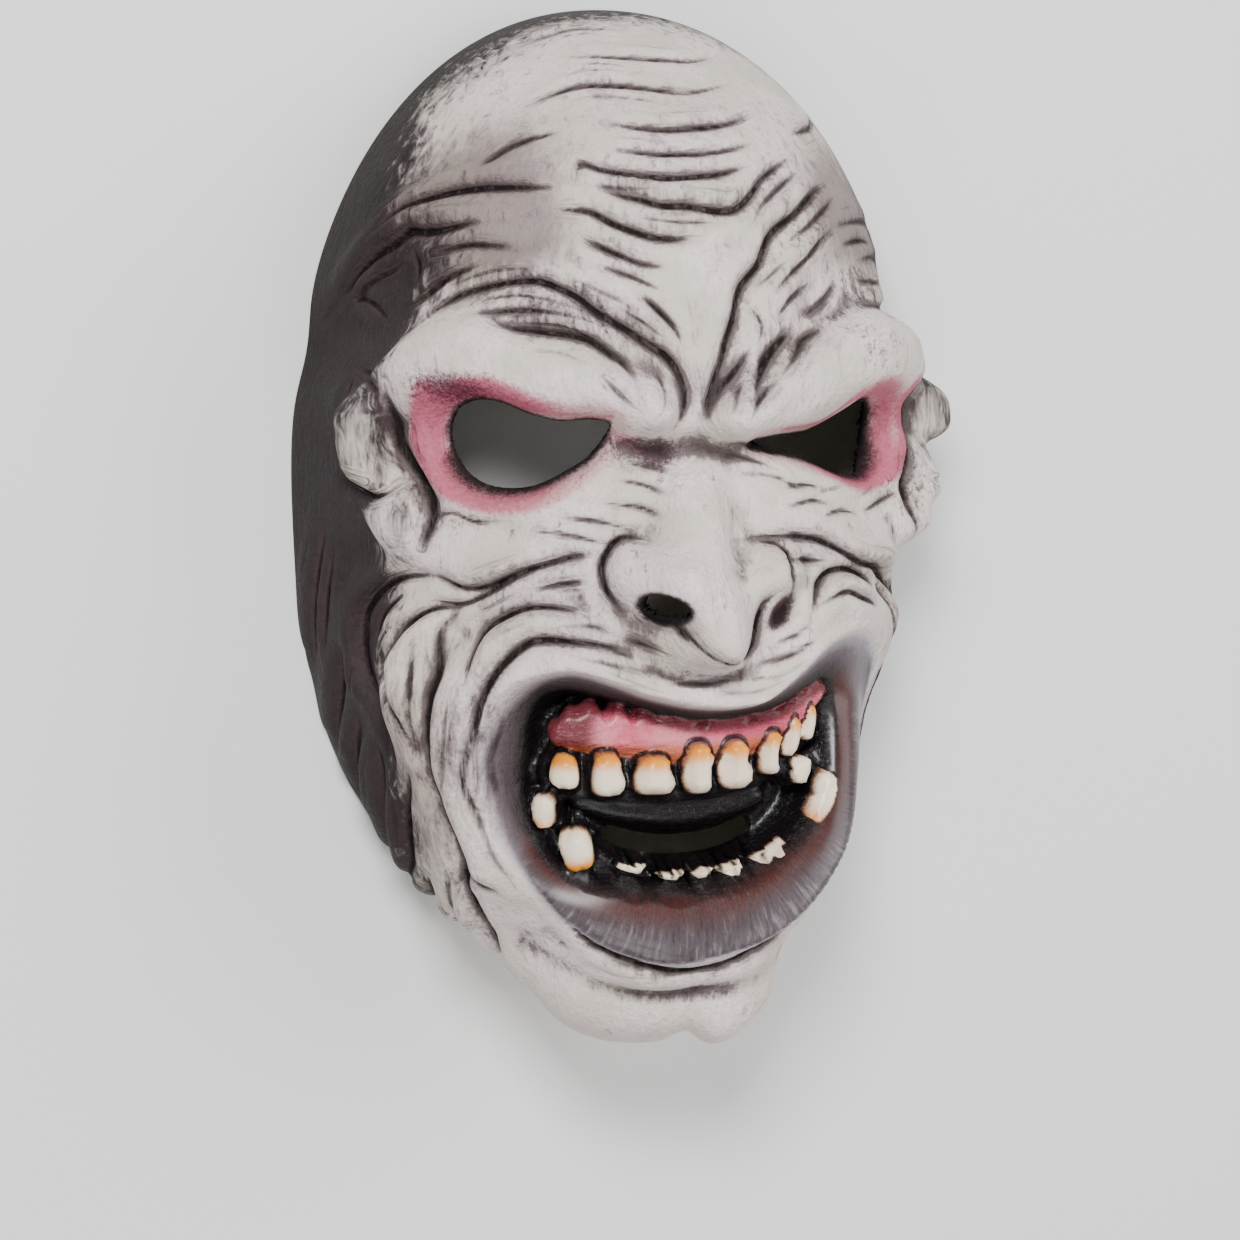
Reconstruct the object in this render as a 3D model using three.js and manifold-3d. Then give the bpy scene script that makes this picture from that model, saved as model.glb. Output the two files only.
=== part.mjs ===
// Zombie mask: one hollow latex casting, open at the back, lying face up on its flat rim.
// Millimetres. X is the viewer's right, Y the forehead, Z out of the face. The rim is at z = 0.
//
// The face is a plain dome with carved forms added along its normals. A place on it is given by
// (u, v): the distances in mm, measured over the dome from its pole at the root of the nose, to
// the right and upwards. Seen from the front, u and v are close to X and Y.

import * as THREE from "three";
import Module from "manifold-3d";

// Driving dimensions of the dome
const HALF_WIDTH = 71.5;
const HALF_HEIGHT = 109;
const MIDDLE_Y = -17;
const TAPER = 0.05;
const ROUNDNESS_ABOVE = 2.1;
const ROUNDNESS_BELOW = 2.35;
const DEPTH = 70;
const POLE_Y = -25;
const CHIN_TUCK = 10;
const CHIN_TUCK_BELOW = 45;
const WALL = 2.8;

// Levels inside the mouth, measured from the dome
const LIP_CREST = 2.6;
const LIP_EDGE = -6;
const LIP_LEVEL = 5;
const MOUTH_FLOOR = -15;
const TOOTH_BED = -9.5;
const GUM_LEVEL = -6.6;
const TONGUE_LEVEL = -10.5;
const CAVITY_WALL = 5.5;
const TOOTH_FLANK = [0.72, 1.35];
const SLIT_HALF = 3.2;
const NOSTRIL_AT = [-12, -36];
const NOSTRIL_HALF = [4.2, 3.1];
const NOSTRIL_TURN = -14;

// The eye point from which the face was read: its turn and tilt in degrees, and its distance.
// The dome's top point (0, 0, 63) lies at these distances right of and above the middle of the view.
const SIGHT_YAW = 19;
const SIGHT_PITCH = 5;
const SIGHT_DISTANCE = 1400;
const SIGHT_ANCHOR = [0, 0, 63];
const SIGHT_OFFSET = [15.15, 40.04];
const SIGHT_ROUNDS = 16;
const SIGHT_SLOPE_STEP = 0.5;
const SIGHT_DAMPING = 0.6;
const SIGHT_LONGEST_STEP = 1.5;
const SIGHT_SMALLEST_AREA = 0.2;
const EDGE_ON = [0.12, 0.42];
const FURTHEST_MOVE = 7;

// Fineness of the facets; the disc's half sizes are the dome's half girths
const DISC_WIDTH = 109;
const DISC_HEIGHT = 157;
const ANGLE_STEPS = 180;
const SHARE_STEPS = 160;
const CURVE_STEP = 2;
const OUTER_FACETS = 7000;
const INNER_FACETS = 1800;
const FIRST_ALLOWED_MISS = 4;
const NEXT_ALLOWED_MISS = 0.85;
const LENGTH_SHARE = 0.03;
const SHORTEST_SIDE = 2.6;
const INNER_REACH = 2.5;
const INNER_HIGHEST = 8;
const INNER_OVERHANG = 0.6;
const BASE_DROP = 5;
const CUTTER_LOW = 15;
const CUTTER_HIGH = 100;

// Near the rim the normal is laid level over this band; slopes are taken over this step
const RIM_BAND = 9;
const RIM_HOLD = 1.5;
const SLOPE_STEP = 0.7;

const radians = THREE.MathUtils.degToRad;
const clamp = (x, low, high) => Math.min(Math.max(x, low), high);
const mix = (a, b, t) => a + (b - a) * t;
const smooth = (low, high, x) => {
  const t = clamp((x - low) / (high - low), 0, 1);
  return t * t * (3 - 2 * t);
};

// The dome: tables of radius and height over angle and share of the arc from pole to rim

function rimPoint(turn) {
  const [c, s] = [Math.cos(turn), Math.sin(turn)];
  const power = 2 / (s < 0 ? ROUNDNESS_BELOW : ROUNDNESS_ABOVE);
  const across = Math.sign(c) * Math.abs(c) ** power;
  const along = Math.sign(s) * Math.abs(s) ** power;
  return [HALF_WIDTH * across * (1 + TAPER * along), MIDDLE_Y + HALF_HEIGHT * along];
}

function rimRadius(angle) {
  let low = angle - 0.9;
  let high = angle + 0.9;
  for (let i = 0; i < 40; i++) {
    const middle = (low + high) / 2;
    const [x, y] = rimPoint(middle);
    const off = Math.atan2(y - POLE_Y, x) - angle;
    if (Math.atan2(Math.sin(off), Math.cos(off)) < 0) low = middle;
    else high = middle;
  }
  const [x, y] = rimPoint(low);
  return Math.hypot(x, y - POLE_Y);
}

function meridian(angle) {
  const ring = rimRadius(angle);
  const up = clamp(Math.sin(angle), 0, 1) ** 2;
  const down = clamp(-Math.sin(angle), 0, 1) ** 3;
  const flatness = 2.7 + 0.9 * up + 5 * down;
  const fullness = 0.85 - 0.3 * up - 0.55 * down;
  const points = [];
  let length = 0;
  for (let i = 0; i <= SHARE_STEPS; i++) {
    const s = Math.sin((i / SHARE_STEPS) * (Math.PI / 2));
    const rho = s * ring;
    const z = DEPTH * Math.max(1 - s ** flatness, 0) ** fullness;
    if (i > 0) length += Math.hypot(rho - points[i - 1].rho, z - points[i - 1].z);
    points.push({ rho, z, length });
  }
  const even = [];
  let k = 1;
  for (let i = 0; i <= SHARE_STEPS; i++) {
    const goal = (length * i) / SHARE_STEPS;
    while (k < SHARE_STEPS && points[k].length < goal) k++;
    const [a, b] = [points[k - 1], points[k]];
    const t = (goal - a.length) / (b.length - a.length);
    even.push([mix(a.rho, b.rho, t), mix(a.z, b.z, t)]);
  }
  return { length, even };
}

const MERIDIANS = Array.from({ length: ANGLE_STEPS + 1 }, (_, i) =>
  meridian(-Math.PI + (2 * Math.PI * i) / ANGLE_STEPS));

function arcLength(angle) {
  const place = ((angle + Math.PI) / (2 * Math.PI)) * ANGLE_STEPS;
  const i = clamp(Math.floor(place), 0, ANGLE_STEPS - 1);
  return mix(MERIDIANS[i].length, MERIDIANS[i + 1].length, place - i);
}

function dome(angle, share) {
  const place = ((angle + Math.PI) / (2 * Math.PI)) * ANGLE_STEPS;
  const i = clamp(Math.floor(place), 0, ANGLE_STEPS - 1);
  const step = clamp(share, 0, 1) * SHARE_STEPS;
  const j = clamp(Math.floor(step), 0, SHARE_STEPS - 1);
  const [fi, fj] = [place - i, step - j];
  const at = (part) => {
    const first = mix(MERIDIANS[i].even[j][part], MERIDIANS[i].even[j + 1][part], fj);
    const second = mix(MERIDIANS[i + 1].even[j][part], MERIDIANS[i + 1].even[j + 1][part], fj);
    return mix(first, second, fi);
  };
  const [rho, z] = [at(0), at(1)];
  const below = clamp(-Math.sin(angle), 0, 1) ** 2;
  const tuck = CHIN_TUCK * below * clamp(1 - z / CHIN_TUCK_BELOW, 0, 1) ** 2;
  return new THREE.Vector3(rho * Math.cos(angle), POLE_Y + rho * Math.sin(angle) + tuck, z);
}

function domeAt(u, v) {
  const angle = Math.atan2(v - POLE_Y, u);
  return dome(angle, Math.hypot(u, v - POLE_Y) / arcLength(angle));
}

// Near the rim the normal is laid level, so that the rim stays flat.
function domeNormal(u, v) {
  const angle = Math.atan2(v - POLE_Y, u);
  const length = arcLength(angle);
  const radius = Math.hypot(u, v - POLE_Y);
  const held = Math.min(radius, length - RIM_HOLD);
  const [x, y] = [held * Math.cos(angle), POLE_Y + held * Math.sin(angle)];
  const across = domeAt(x + SLOPE_STEP, y).sub(domeAt(x - SLOPE_STEP, y));
  const along = domeAt(x, y + SLOPE_STEP).sub(domeAt(x, y - SLOPE_STEP));
  const normal = across.cross(along).normalize();
  normal.z *= smooth(0, RIM_BAND, length - radius);
  return normal.normalize();
}

function raisedAt(u, v, height) {
  return domeAt(u, v).addScaledVector(domeNormal(u, v), height);
}

// Line of sight: a reading is a place where a form seemed to lie on the plain dome. The form
// stands above or below the dome, so it is carried along the line of sight to its true place.

const [YAW, PITCH] = [radians(SIGHT_YAW), radians(SIGHT_PITCH)];
const FOREHEAD = new THREE.Vector3(0, 1, 0);
const BACK = new THREE.Vector3(0, Math.sin(PITCH), Math.cos(PITCH)).applyAxisAngle(FOREHEAD, -YAW);
const RIGHT = FOREHEAD.clone().cross(BACK).normalize();
const UP = BACK.clone().cross(RIGHT);
const EYE = new THREE.Vector3(...SIGHT_ANCHOR)
  .addScaledVector(RIGHT, -SIGHT_OFFSET[0])
  .addScaledVector(UP, -SIGHT_OFFSET[1])
  .addScaledVector(BACK, SIGHT_DISTANCE);

function seen(point) {
  const away = point.clone().sub(EYE);
  const scale = -SIGHT_DISTANCE / away.dot(BACK);
  return [away.dot(RIGHT) * scale, away.dot(UP) * scale];
}

// Damped Newton steps on the difference in the view. Readings seen edge on keep less of the move.
function carried([u, v, ...rest], surface) {
  const goal = seen(domeAt(u, v));
  const step = SIGHT_SLOPE_STEP;
  let [x, y] = [u, v];
  for (let round = 0; round < SIGHT_ROUNDS; round++) {
    const here = seen(surface(x, y));
    const across = seen(surface(x + step, y)).map((value, k) => (value - here[k]) / step);
    const along = seen(surface(x, y + step)).map((value, k) => (value - here[k]) / step);
    const miss = [goal[0] - here[0], goal[1] - here[1]];
    const area = across[0] * along[1] - along[0] * across[1];
    const size = Math.abs(area) < SIGHT_SMALLEST_AREA ? SIGHT_SMALLEST_AREA : area;
    const moveX = (miss[0] * along[1] - miss[1] * along[0]) / size;
    const moveY = (across[0] * miss[1] - across[1] * miss[0]) / size;
    const reach = Math.max(Math.hypot(moveX, moveY), 1e-9);
    const damp = SIGHT_DAMPING * Math.min(1, SIGHT_LONGEST_STEP / reach);
    [x, y] = [x + damp * moveX, y + damp * moveY];
  }
  const facing = domeNormal(u, v).dot(EYE.clone().sub(domeAt(u, v)).normalize());
  const far = Math.max(Math.hypot(x - u, y - v), 1e-9);
  const keep = smooth(...EDGE_ON, facing) * Math.min(1, FURTHEST_MOVE / far);
  return [mix(u, x, keep), mix(v, y, keep), ...rest];
}

const carriedTo = (height, point) => carried(point, (u, v) => raisedAt(u, v, height));

// Forms: each adds its height in mm to the dome at (u, v)

function smoothPath(points, closed = false) {
  const knots = points.map(([u, v, ...rest]) => [u, v, rest[0] ?? 1, rest[1] ?? 1]);
  const places = new THREE.CatmullRomCurve3(
    knots.map(([u, v]) => new THREE.Vector3(u, v, 0)), closed, "catmullrom", 0.5);
  const values = new THREE.CatmullRomCurve3(
    knots.map(([, , width, height]) => new THREE.Vector3(width, height, 0)), closed, "catmullrom", 0.5);
  const spans = closed ? knots.length : knots.length - 1;
  const path = [];
  for (let k = 0; k < spans; k++) {
    const next = knots[(k + 1) % knots.length];
    const span = Math.hypot(next[0] - knots[k][0], next[1] - knots[k][1]);
    const steps = Math.max(Math.ceil(span / CURVE_STEP), 1);
    for (let i = 0; i < steps; i++) path.push((k + i / steps) / spans);
  }
  if (!closed) path.push(1);
  return path.map((t) => {
    const [place, value] = [places.getPoint(t), values.getPoint(t)];
    return { u: place.x, v: place.y, width: value.x, height: value.y };
  });
}

// Nearest point of a path: distance, which side, and the width and height carried there.
function nearest(path, u, v, closed = false) {
  let best = { distance: Infinity };
  const count = closed ? path.length : path.length - 1;
  for (let i = 0; i < count; i++) {
    const [a, b] = [path[i], path[(i + 1) % path.length]];
    const [du, dv] = [b.u - a.u, b.v - a.v];
    const t = clamp(((u - a.u) * du + (v - a.v) * dv) / (du * du + dv * dv), 0, 1);
    const [eu, ev] = [u - a.u - t * du, v - a.v - t * dv];
    const distance = Math.hypot(eu, ev);
    if (distance < best.distance) {
      const along = (i + t) / count;
      const side = Math.sign(du * ev - dv * eu) || 1;
      const [width, height] = [mix(a.width, b.width, t), mix(a.height, b.height, t)];
      best = { distance, along, side, width, height };
    }
  }
  return best;
}

function isInside(path, u, v) {
  let inside = false;
  for (let i = 0, j = path.length - 1; i < path.length; j = i++) {
    const [a, b] = [path[i], path[j]];
    if (a.v > v !== b.v > v && u < ((b.u - a.u) * (v - a.v)) / (b.v - a.v) + a.u) inside = !inside;
  }
  return inside;
}

const depthInside = (path, u, v) => nearest(path, u, v, true).distance * (isInside(path, u, v) ? 1 : -1);

// A rounded swelling: height times exp(-q^power), q the distance from its middle in its radii.
function swelling({ at, radii, height, turn = 0, power = 2 }, u, v) {
  const angle = radians(turn);
  const [x, y] = [u - at[0], v - at[1]];
  const along = (x * Math.cos(angle) + y * Math.sin(angle)) / radii[0];
  const across = (y * Math.cos(angle) - x * Math.sin(angle)) / radii[1];
  return height * Math.exp(-(Math.hypot(along, across) ** power));
}

// A roll of flesh along a path whose points carry its half width and height.
function roll({ path, power = 2.6 }, u, v) {
  const { distance, width, height } = nearest(path, u, v);
  return height * Math.exp(-((distance / width) ** power));
}

// A crease: a groove that fades at both ends, with the skin puffed up along one or both sides.
function crease({ path, depth, width = 1.6, puff = 0.7, side = 0 }, u, v) {
  const { distance, along, side: here } = nearest(path, u, v);
  const fade = Math.sin(Math.PI * clamp(along, 0.02, 0.98)) ** 0.5;
  const lift = side === 0 || side === here ? 1 : 0.15;
  const bulge = Math.exp(-(((distance - 2.2 * width) / (2.2 * width)) ** 2));
  return depth * fade * (puff * lift * bulge - Math.exp(-((distance / width) ** 2)));
}

const bothSides = (form) => [form, { ...form, at: [-form.at[0], form.at[1]], turn: -(form.turn ?? 0) }];

const SWELLINGS = [
  // temple hollows, and the hollow between the brows
  ...bothSides({ at: [-86, 34], radii: [17, 14], height: -4 }),
  { at: [-2, -3], radii: [13, 5], height: -4 },
  // eye sockets under the brows
  ...bothSides({ at: [-38, -1], radii: [24, 12], height: -6.5, power: 3 }),
  // inner ends of the brows
  { at: [-9.5, 6], radii: [6, 6.5], height: 4.5 },
  { at: [6.5, 5], radii: [6, 6], height: 4.5 },
  // two drops of flesh hanging at each temple
  { at: [-76, 4], radii: [8.5, 12.5], height: 9, turn: 8, power: 3.2 },
  { at: [79.5, 9], radii: [6.5, 8.5], height: 12, turn: -6, power: 3 },
  { at: [72.5, -5], radii: [5.5, 8], height: 7, turn: -4, power: 3 },
  ...bothSides({ at: [-68, -17], radii: [8, 9.5], height: 8, turn: 20, power: 3 }),
  // cheekbones and cheeks, and the leaner right jaw
  ...bothSides({ at: [-50, -26], radii: [19, 8], height: 4.5, turn: -8 }),
  { at: [-64, -62], radii: [12, 22], height: 3.5 },
  { at: [64, -50], radii: [9, 10], height: 2.5 },
  { at: [66, -86], radii: [26, 36], height: -9, power: 2.6 },
  // wings of the nose
  { at: [-13, -30], radii: [8, 7.5], height: 8.5, power: 2.8 },
  { at: [14.5, -31], radii: [7, 8], height: 8, power: 2.8 },
  // muzzle around the mouth
  { at: [-6, -55], radii: [44, 11], height: 3 },
  // cleft chin
  { at: [-9, -133], radii: [23, 17], height: 12.5, power: 3 },
  { at: [16, -129], radii: [12, 13], height: 9, power: 2.8 },
  { at: [4.5, -138], radii: [3.5, 9], height: -4.5, turn: 12 },
  { at: [0, -121], radii: [32, 3.5], height: -3 },
];

// Rolls as read: points with half width and height
const ROLLS = [
  // brows
  {
    path: [[-80, 14, 5, 3], [-74, 19, 7, 6], [-66, 22, 9, 9], [-55, 22, 9.5, 10], [-45, 17, 8, 8.5],
      [-34, 12.5, 7.5, 8.5], [-22, 10.5, 7, 8.5], [-12, 7.5, 6, 7]],
    power: 3.2,
  },
  {
    path: [[74, 18, 6, 5], [64, 21, 8, 8], [52, 20, 9, 9.5], [42, 17, 8.5, 8.5], [31, 11, 7.5, 8.5],
      [20, 7.5, 7, 8.5], [10, 5, 6, 7]],
    power: 3.2,
  },
  // nose, from the root to the hooked tip
  {
    path: [[0, 0, 6, 1], [0, -12, 7, 6], [1, -24, 8.5, 11], [3, -34, 10, 17], [5.5, -41, 9.5, 19]],
    power: 2.8,
  },
  // lower eyelids
  {
    path: [[-60, 13, 3.5, 1.5], [-63, 3, 3.6, 3], [-59, -8, 3.6, 3.4], [-48, -14.5, 3.6, 3.2],
      [-34, -13, 3.6, 2.5], [-24, -7, 3, 1]],
  },
  {
    path: [[60, 14, 3.5, 1.5], [66, 3, 3.6, 3], [61, -7, 3.6, 3.2], [48, -11.5, 3.6, 2.8],
      [34, -9.5, 3.4, 2], [24, -5, 3, 1]],
  },
  // folds that run from beside the nose round the mouth to the jaw
  {
    path: [[-22, -41, 4, 1], [-36, -40.5, 4.5, 3], [-46, -48, 5, 4], [-54, -62, 5, 4], [-55, -80, 5, 4],
      [-47, -97, 5, 3], [-38, -112, 5, 2]],
  },
  {
    path: [[-62, -46, 5, 2], [-67, -56, 6, 4], [-67, -72, 6, 4], [-63, -88, 6, 3], [-58, -104, 6, 3],
      [-52, -122, 6, 2]],
  },
  {
    path: [[20, -41, 4, 1], [34, -38, 4.5, 3], [48, -39.5, 5, 3.5], [57, -45, 4.5, 3], [60, -55, 4, 2],
      [58, -66, 4, 1]],
  },
  { path: [[66, -46, 5, 2], [72, -58, 6, 3], [70, -76, 6, 3], [64, -96, 6, 3], [56, -116, 6, 2]] },
].map((form) => ({ ...form, path: smoothPath(form.path.map((point) => carriedTo(point[3], point))) }));

function rise(u, v) {
  const swollen = SWELLINGS.reduce((sum, form) => sum + swelling(form, u, v), 0);
  return ROLLS.reduce((sum, form) => sum + roll(form, u, v), swollen);
}

// Overhang: the brow and the tip of the nose hang down by part of their own height.
const OVERHANGS = [
  { at: [-40, 8], radii: [40, 8], height: 2.5 },
  { at: [40, 8], radii: [40, 8], height: 2.5 },
  { at: [4, -42], radii: [12, 7], height: 4.5 },
];

function hungAt(u, v, height, share = 1) {
  const point = raisedAt(u, v, height);
  OVERHANGS.forEach((form) => (point.y -= share * swelling(form, u, v)));
  return point;
}

const carriedOn = (point, above = 0) => carried(point, (u, v) => hungAt(u, v, rise(u, v) + above));

// Creases as read
const CREASES = [
  // frown lines over the brows
  {
    path: [[-57, 33], [-46, 35], [-34, 35], [-26, 30.5], [-16.7, 23.7], [-8, 18], [-3.6, 10], [-6, 2]],
    depth: 2.6, width: 2.4, side: 1,
  },
  {
    path: [[39, 58], [30, 52], [20, 45], [11.8, 34], [8, 25], [4.6, 16], [1.3, 7.4], [3.4, 1.9]],
    depth: 2.6, width: 2.4, side: -1,
  },
  { path: [[-45, 28.4], [-29, 22.5], [-20, 18], [-13.8, 10]], depth: 1.8, width: 2 },
  { path: [[28, 30], [21, 22], [16, 17.4], [12.2, 8.2]], depth: 2, width: 2 },
  // lines across the forehead
  { path: [[-24, 61], [-13, 58], [0, 57], [15, 59.5]], depth: 1.9, width: 2, side: 1 },
  { path: [[-18, 54], [-6, 50.6], [11, 49.8], [19, 57], [28, 63]], depth: 2.2, width: 2.1, side: 1 },
  { path: [[-28, 51], [-17.6, 47], [-9, 43.5], [1, 43.5]], depth: 1.9, width: 2, side: 1 },
  { path: [[-16, 72], [-4, 69.5], [12, 71], [25, 76]], depth: 1.8, width: 2.2, side: 1 },
  { path: [[-34, 80], [-14, 83], [8, 81], [28, 86]], depth: 1.8, width: 2.2, side: 1 },
  // folded skin of the temples
  { path: [[-84, 45.6], [-72, 53], [-62.5, 56], [-47, 52]], depth: 3.2, width: 2.6, side: 1 },
  { path: [[-72, 59], [-58, 62], [-44.5, 60.5], [-30, 56.8]], depth: 2.2, width: 2.2, side: 1 },
  { path: [[40, 48], [50, 52], [62, 57], [74, 62]], depth: 1, width: 2.2, puff: 0.4, side: 1 },
  { path: [[45, 30], [58, 32], [70, 36], [80, 39]], depth: 1, width: 2.2, puff: 0.4, side: 1 },
  // under the cheekbones and down the cheeks
  { path: [[-60, -32], [-47, -33], [-34, -27.4], [-24, -25]], depth: 2.6, width: 2.2, side: 1 },
  { path: [[12, -22], [28.6, -23], [47, -30], [67, -39], [78, -50]], depth: 2.6, width: 2.2, side: 1 },
  {
    path: [[-63, -31.6], [-75, -36], [-82, -46], [-82, -57], [-76, -71], [-70, -86]],
    depth: 3.2, width: 2.4, side: -1,
  },
  { path: [[-54.5, -39], [-64.6, -42.5], [-72, -52], [-74, -62], [-64, -77]], depth: 2.6, width: 2.2 },
  {
    path: [[-55, -41], [-59.6, -49], [-60.4, -62], [-59.6, -78.6], [-52, -96], [-49.5, -109], [-43, -124],
      [-38, -143], [-38, -156]],
    depth: 3.2, width: 2.4,
  },
  { path: [[-26, -38], [-38, -37.5], [-47, -43], [-51, -56]], depth: 2.2, width: 2, side: 1 },
  {
    path: [[-17, -47], [-34, -43.8], [-42, -49], [-47, -60], [-49.5, -78], [-43, -94], [-38.6, -100]],
    depth: 2.2, width: 2,
  },
  { path: [[-88, -58], [-90, -81], [-91.5, -97.5]], depth: 2.4, width: 2.6 },
  { path: [[-76, -82], [-74, -93], [-72, -127], [-72, -140]], depth: 2.4, width: 2.6 },
  { path: [[27, -39], [33, -30.7], [47, -33], [52, -36.6]], depth: 2.2, width: 2 },
  { path: [[70, -44], [80, -52], [83, -64], [78, -80], [70, -98]], depth: 3.2, width: 2.6, side: 1 },
  { path: [[62, -46], [69, -58], [70, -74], [64, -94], [56, -114]], depth: 2.8, width: 2.4 },
  // lines beside the nose
  { path: [[-12.5, -22], [-20.6, -24], [-22, -28], [-18, -37]], depth: 2.2, width: 2 },
  { path: [[18.5, -34], [13.4, -40], [10, -48.8]], depth: 3, width: 2.2, puff: 0.3 },
  // dark gaps beside the drops of flesh
  { path: [[-69.7, 3], [-63.4, -7], [-62, -18], [-64.6, -25]], depth: 2.2, width: 2.2 },
  { path: [[69.7, 5], [66, -8], [63.5, -18], [66, -25]], depth: 2.2, width: 2.2 },
].map((form) => ({ ...form, path: smoothPath(form.path.map((point) => carriedOn(point))) }));

// The mouth: a crest all round it, a slope inwards to the cavity's edge, gum, teeth and floor

// The outlines at the right corner, where the surface is seen edge on, are places on the raised face.

const LIP_RING = smoothPath([
  ...[
    [-8, -118.5], [-15, -116.5], [-22, -113], [-29, -108], [-37, -101], [-44, -93], [-48, -85],
    [-49.5, -75], [-48, -65], [-43.5, -57], [-37, -52], [-30, -50], [-24, -51], [-17, -53.5], [-9, -56.5],
    [0, -58.5], [9, -58.8], [16, -57.5], [23, -52.3], [30, -47.4], [35, -45.6], [40, -45.2], [46, -45.8],
    [52, -48.5], [56, -54],
  ].map((point) => carriedOn(point, LIP_CREST)),
  [56.5, -60], [54, -67], [50, -74], [45.5, -81], [40.5, -87.5], [35, -93.5], [29, -99.5], [23, -104.3],
  [15.8, -108.8], [8, -111.8], [0, -113.3],
], true);

const CAVITY_EDGE = smoothPath([
  ...[
    [-6, -98], [-18, -97], [-28, -94], [-35, -88], [-39.5, -79], [-40, -70], [-39, -61], [-36, -55.5],
    [-30, -53.5], [-22, -55], [-15, -57], [-8, -59], [0, -60.5], [10, -60], [19, -58], [26, -54], [31, -53],
    [34, -56],
  ].map((point) => carriedTo(LIP_EDGE, point)),
  [41, -64], [39, -72], [36.5, -79], [32.5, -84.5], [27.5, -89], [21.5, -92.8], [14, -96.5], [6, -99.2],
], true);

const LOWER_LIP = smoothPath([
  ...[
    [-42, -86, 5, 1], [-38.5, -92.5, 6, 2.5], [-32, -98.5, 7, 4.5], [-20, -104, 7.5, 6.5], [-6, -107, 8, 7],
    [7, -106, 8, 7],
  ].map((point) => carriedTo(LIP_LEVEL, point)),
  [15, -102, 7.5, 6.5], [21.5, -99, 7, 6], [27, -95, 6.5, 5.5], [32, -90.5, 6, 5], [36.5, -85, 5.5, 4],
  [40.5, -78.5, 5, 3], [44, -71.5, 5, 2], [46.5, -64, 4.5, 1],
]);

const GUM = smoothPath([
  [-32, -63.5, 4.2], [-27, -62.5, 6], [-16, -63, 6.8], [-4, -65, 6.8], [8, -64.5, 6.8], [17, -61.5, 6.4],
  [24, -58, 6], [30, -55, 5],
].map((point) => carriedTo(GUM_LEVEL, point)));

const UPPER_BED = smoothPath([
  [-33, -73, 7], [-20, -73.5, 7], [-9, -74, 7], [2, -73, 7], [11, -71.5, 7], [19, -68, 6], [27, -64, 5],
].map((point) => carriedTo(TOOTH_BED, point)));

const LOWER_BED = smoothPath([
  [-36, -80, 5], [-30, -88, 7], [-18, -95.5, 5], [-4, -97.5, 4.5], [10, -95.5, 4.5], [22, -90, 5],
  [31, -81, 6], [31, -72, 4],
].map((point) => carriedTo(TOOTH_BED, point)));

const TONGUE = smoothPath([[-27, -81, 3], [-12, -83, 3.5], [3, -83.5, 3.5], [18, -80.5, 3]]);
const BREATHING_SLIT = smoothPath([[-17, -89.3], [-9, -91], [0, -91.5], [9, -90.6], [17, -88.2]]);

// Teeth as read: middle, half width and half height, turn in degrees, and the level of the face
const TEETH = [
  [-30.5, -72.3, 4.1, 4.2, 0, -4.5], [-20.3, -73, 4, 5, 2, -4], [-9.3, -73.5, 4.5, 4.5, 0, -3.5],
  [1, -72.3, 3.45, 5.7, 2, -3.5], [9.5, -71.8, 3.5, 5.5, 3, -3.5], [17.7, -69.5, 2.6, 4.9, -8, -4.5],
  [22.4, -66, 1.8, 4.6, -14, -5.5], [26.6, -63, 1.7, 4.2, -14, -6], [24.8, -73.5, 2.6, 3.3, -10, -5],
  [-35, -81.8, 2.9, 4.3, 0, -4], [-27.3, -90.4, 4.3, 5.3, 14, -3], [31, -80.6, 2.2, 6.8, -28, -4],
  [-15.5, -94.2, 3.9, 1.7, -4, -5], [-6.3, -95.8, 3.7, 1.5, 2, -5], [2.4, -95.2, 3.2, 1.5, 8, -5],
  [10.4, -93.8, 3.8, 1.5, 13, -5], [18.6, -90.2, 4, 1.5, 22, -5],
].map(([u, v, halfWidth, halfHeight, turn, level]) => {
  return { at: carriedTo(level, [u, v]), radii: [halfWidth, halfHeight], turn, level };
});

// Rounded block: full height inside its outline, falling to nothing just outside it.
function toothRise({ at, radii, turn }, u, v) {
  const angle = radians(turn);
  const [x, y] = [u - at[0], v - at[1]];
  const along = Math.abs(x * Math.cos(angle) + y * Math.sin(angle)) / radii[0];
  const across = Math.abs(y * Math.cos(angle) - x * Math.sin(angle)) / radii[1];
  const q = (along ** 3 + across ** 3) ** (1 / 3);
  return 1 - smooth(...TOOTH_FLANK, q);
}

function mouthHeight(u, v, skin) {
  const ring = depthInside(LIP_RING, u, v);
  const crest = skin + LIP_CREST * Math.exp(-((Math.min(ring, 0) / 4) ** 2));
  if (ring <= 0) return crest;
  const cavity = depthInside(CAVITY_EDGE, u, v);
  const share = ring / (ring + Math.max(-cavity, 0));
  const lip = roll({ path: LOWER_LIP, power: 3 }, u, v) * (1 - smooth(0, CAVITY_WALL, cavity));
  let level = mix(crest, LIP_EDGE, share ** 0.8) + lip * smooth(0, 2, ring);
  if (cavity <= 0) return level;
  level = mix(level, MOUTH_FLOOR, smooth(0, CAVITY_WALL, cavity));
  const raise = (goal, amount) => {
    level = Math.max(level, mix(MOUTH_FLOOR, goal, amount));
  };
  raise(TOOTH_BED, roll({ path: UPPER_BED, power: 4 }, u, v));
  raise(TOOTH_BED, roll({ path: LOWER_BED, power: 4 }, u, v));
  raise(GUM_LEVEL, roll({ path: GUM, power: 4 }, u, v));
  raise(TONGUE_LEVEL, roll({ path: TONGUE, power: 3 }, u, v));
  TEETH.forEach((tooth) => raise(tooth.level, toothRise(tooth, u, v)));
  return level;
}

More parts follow.
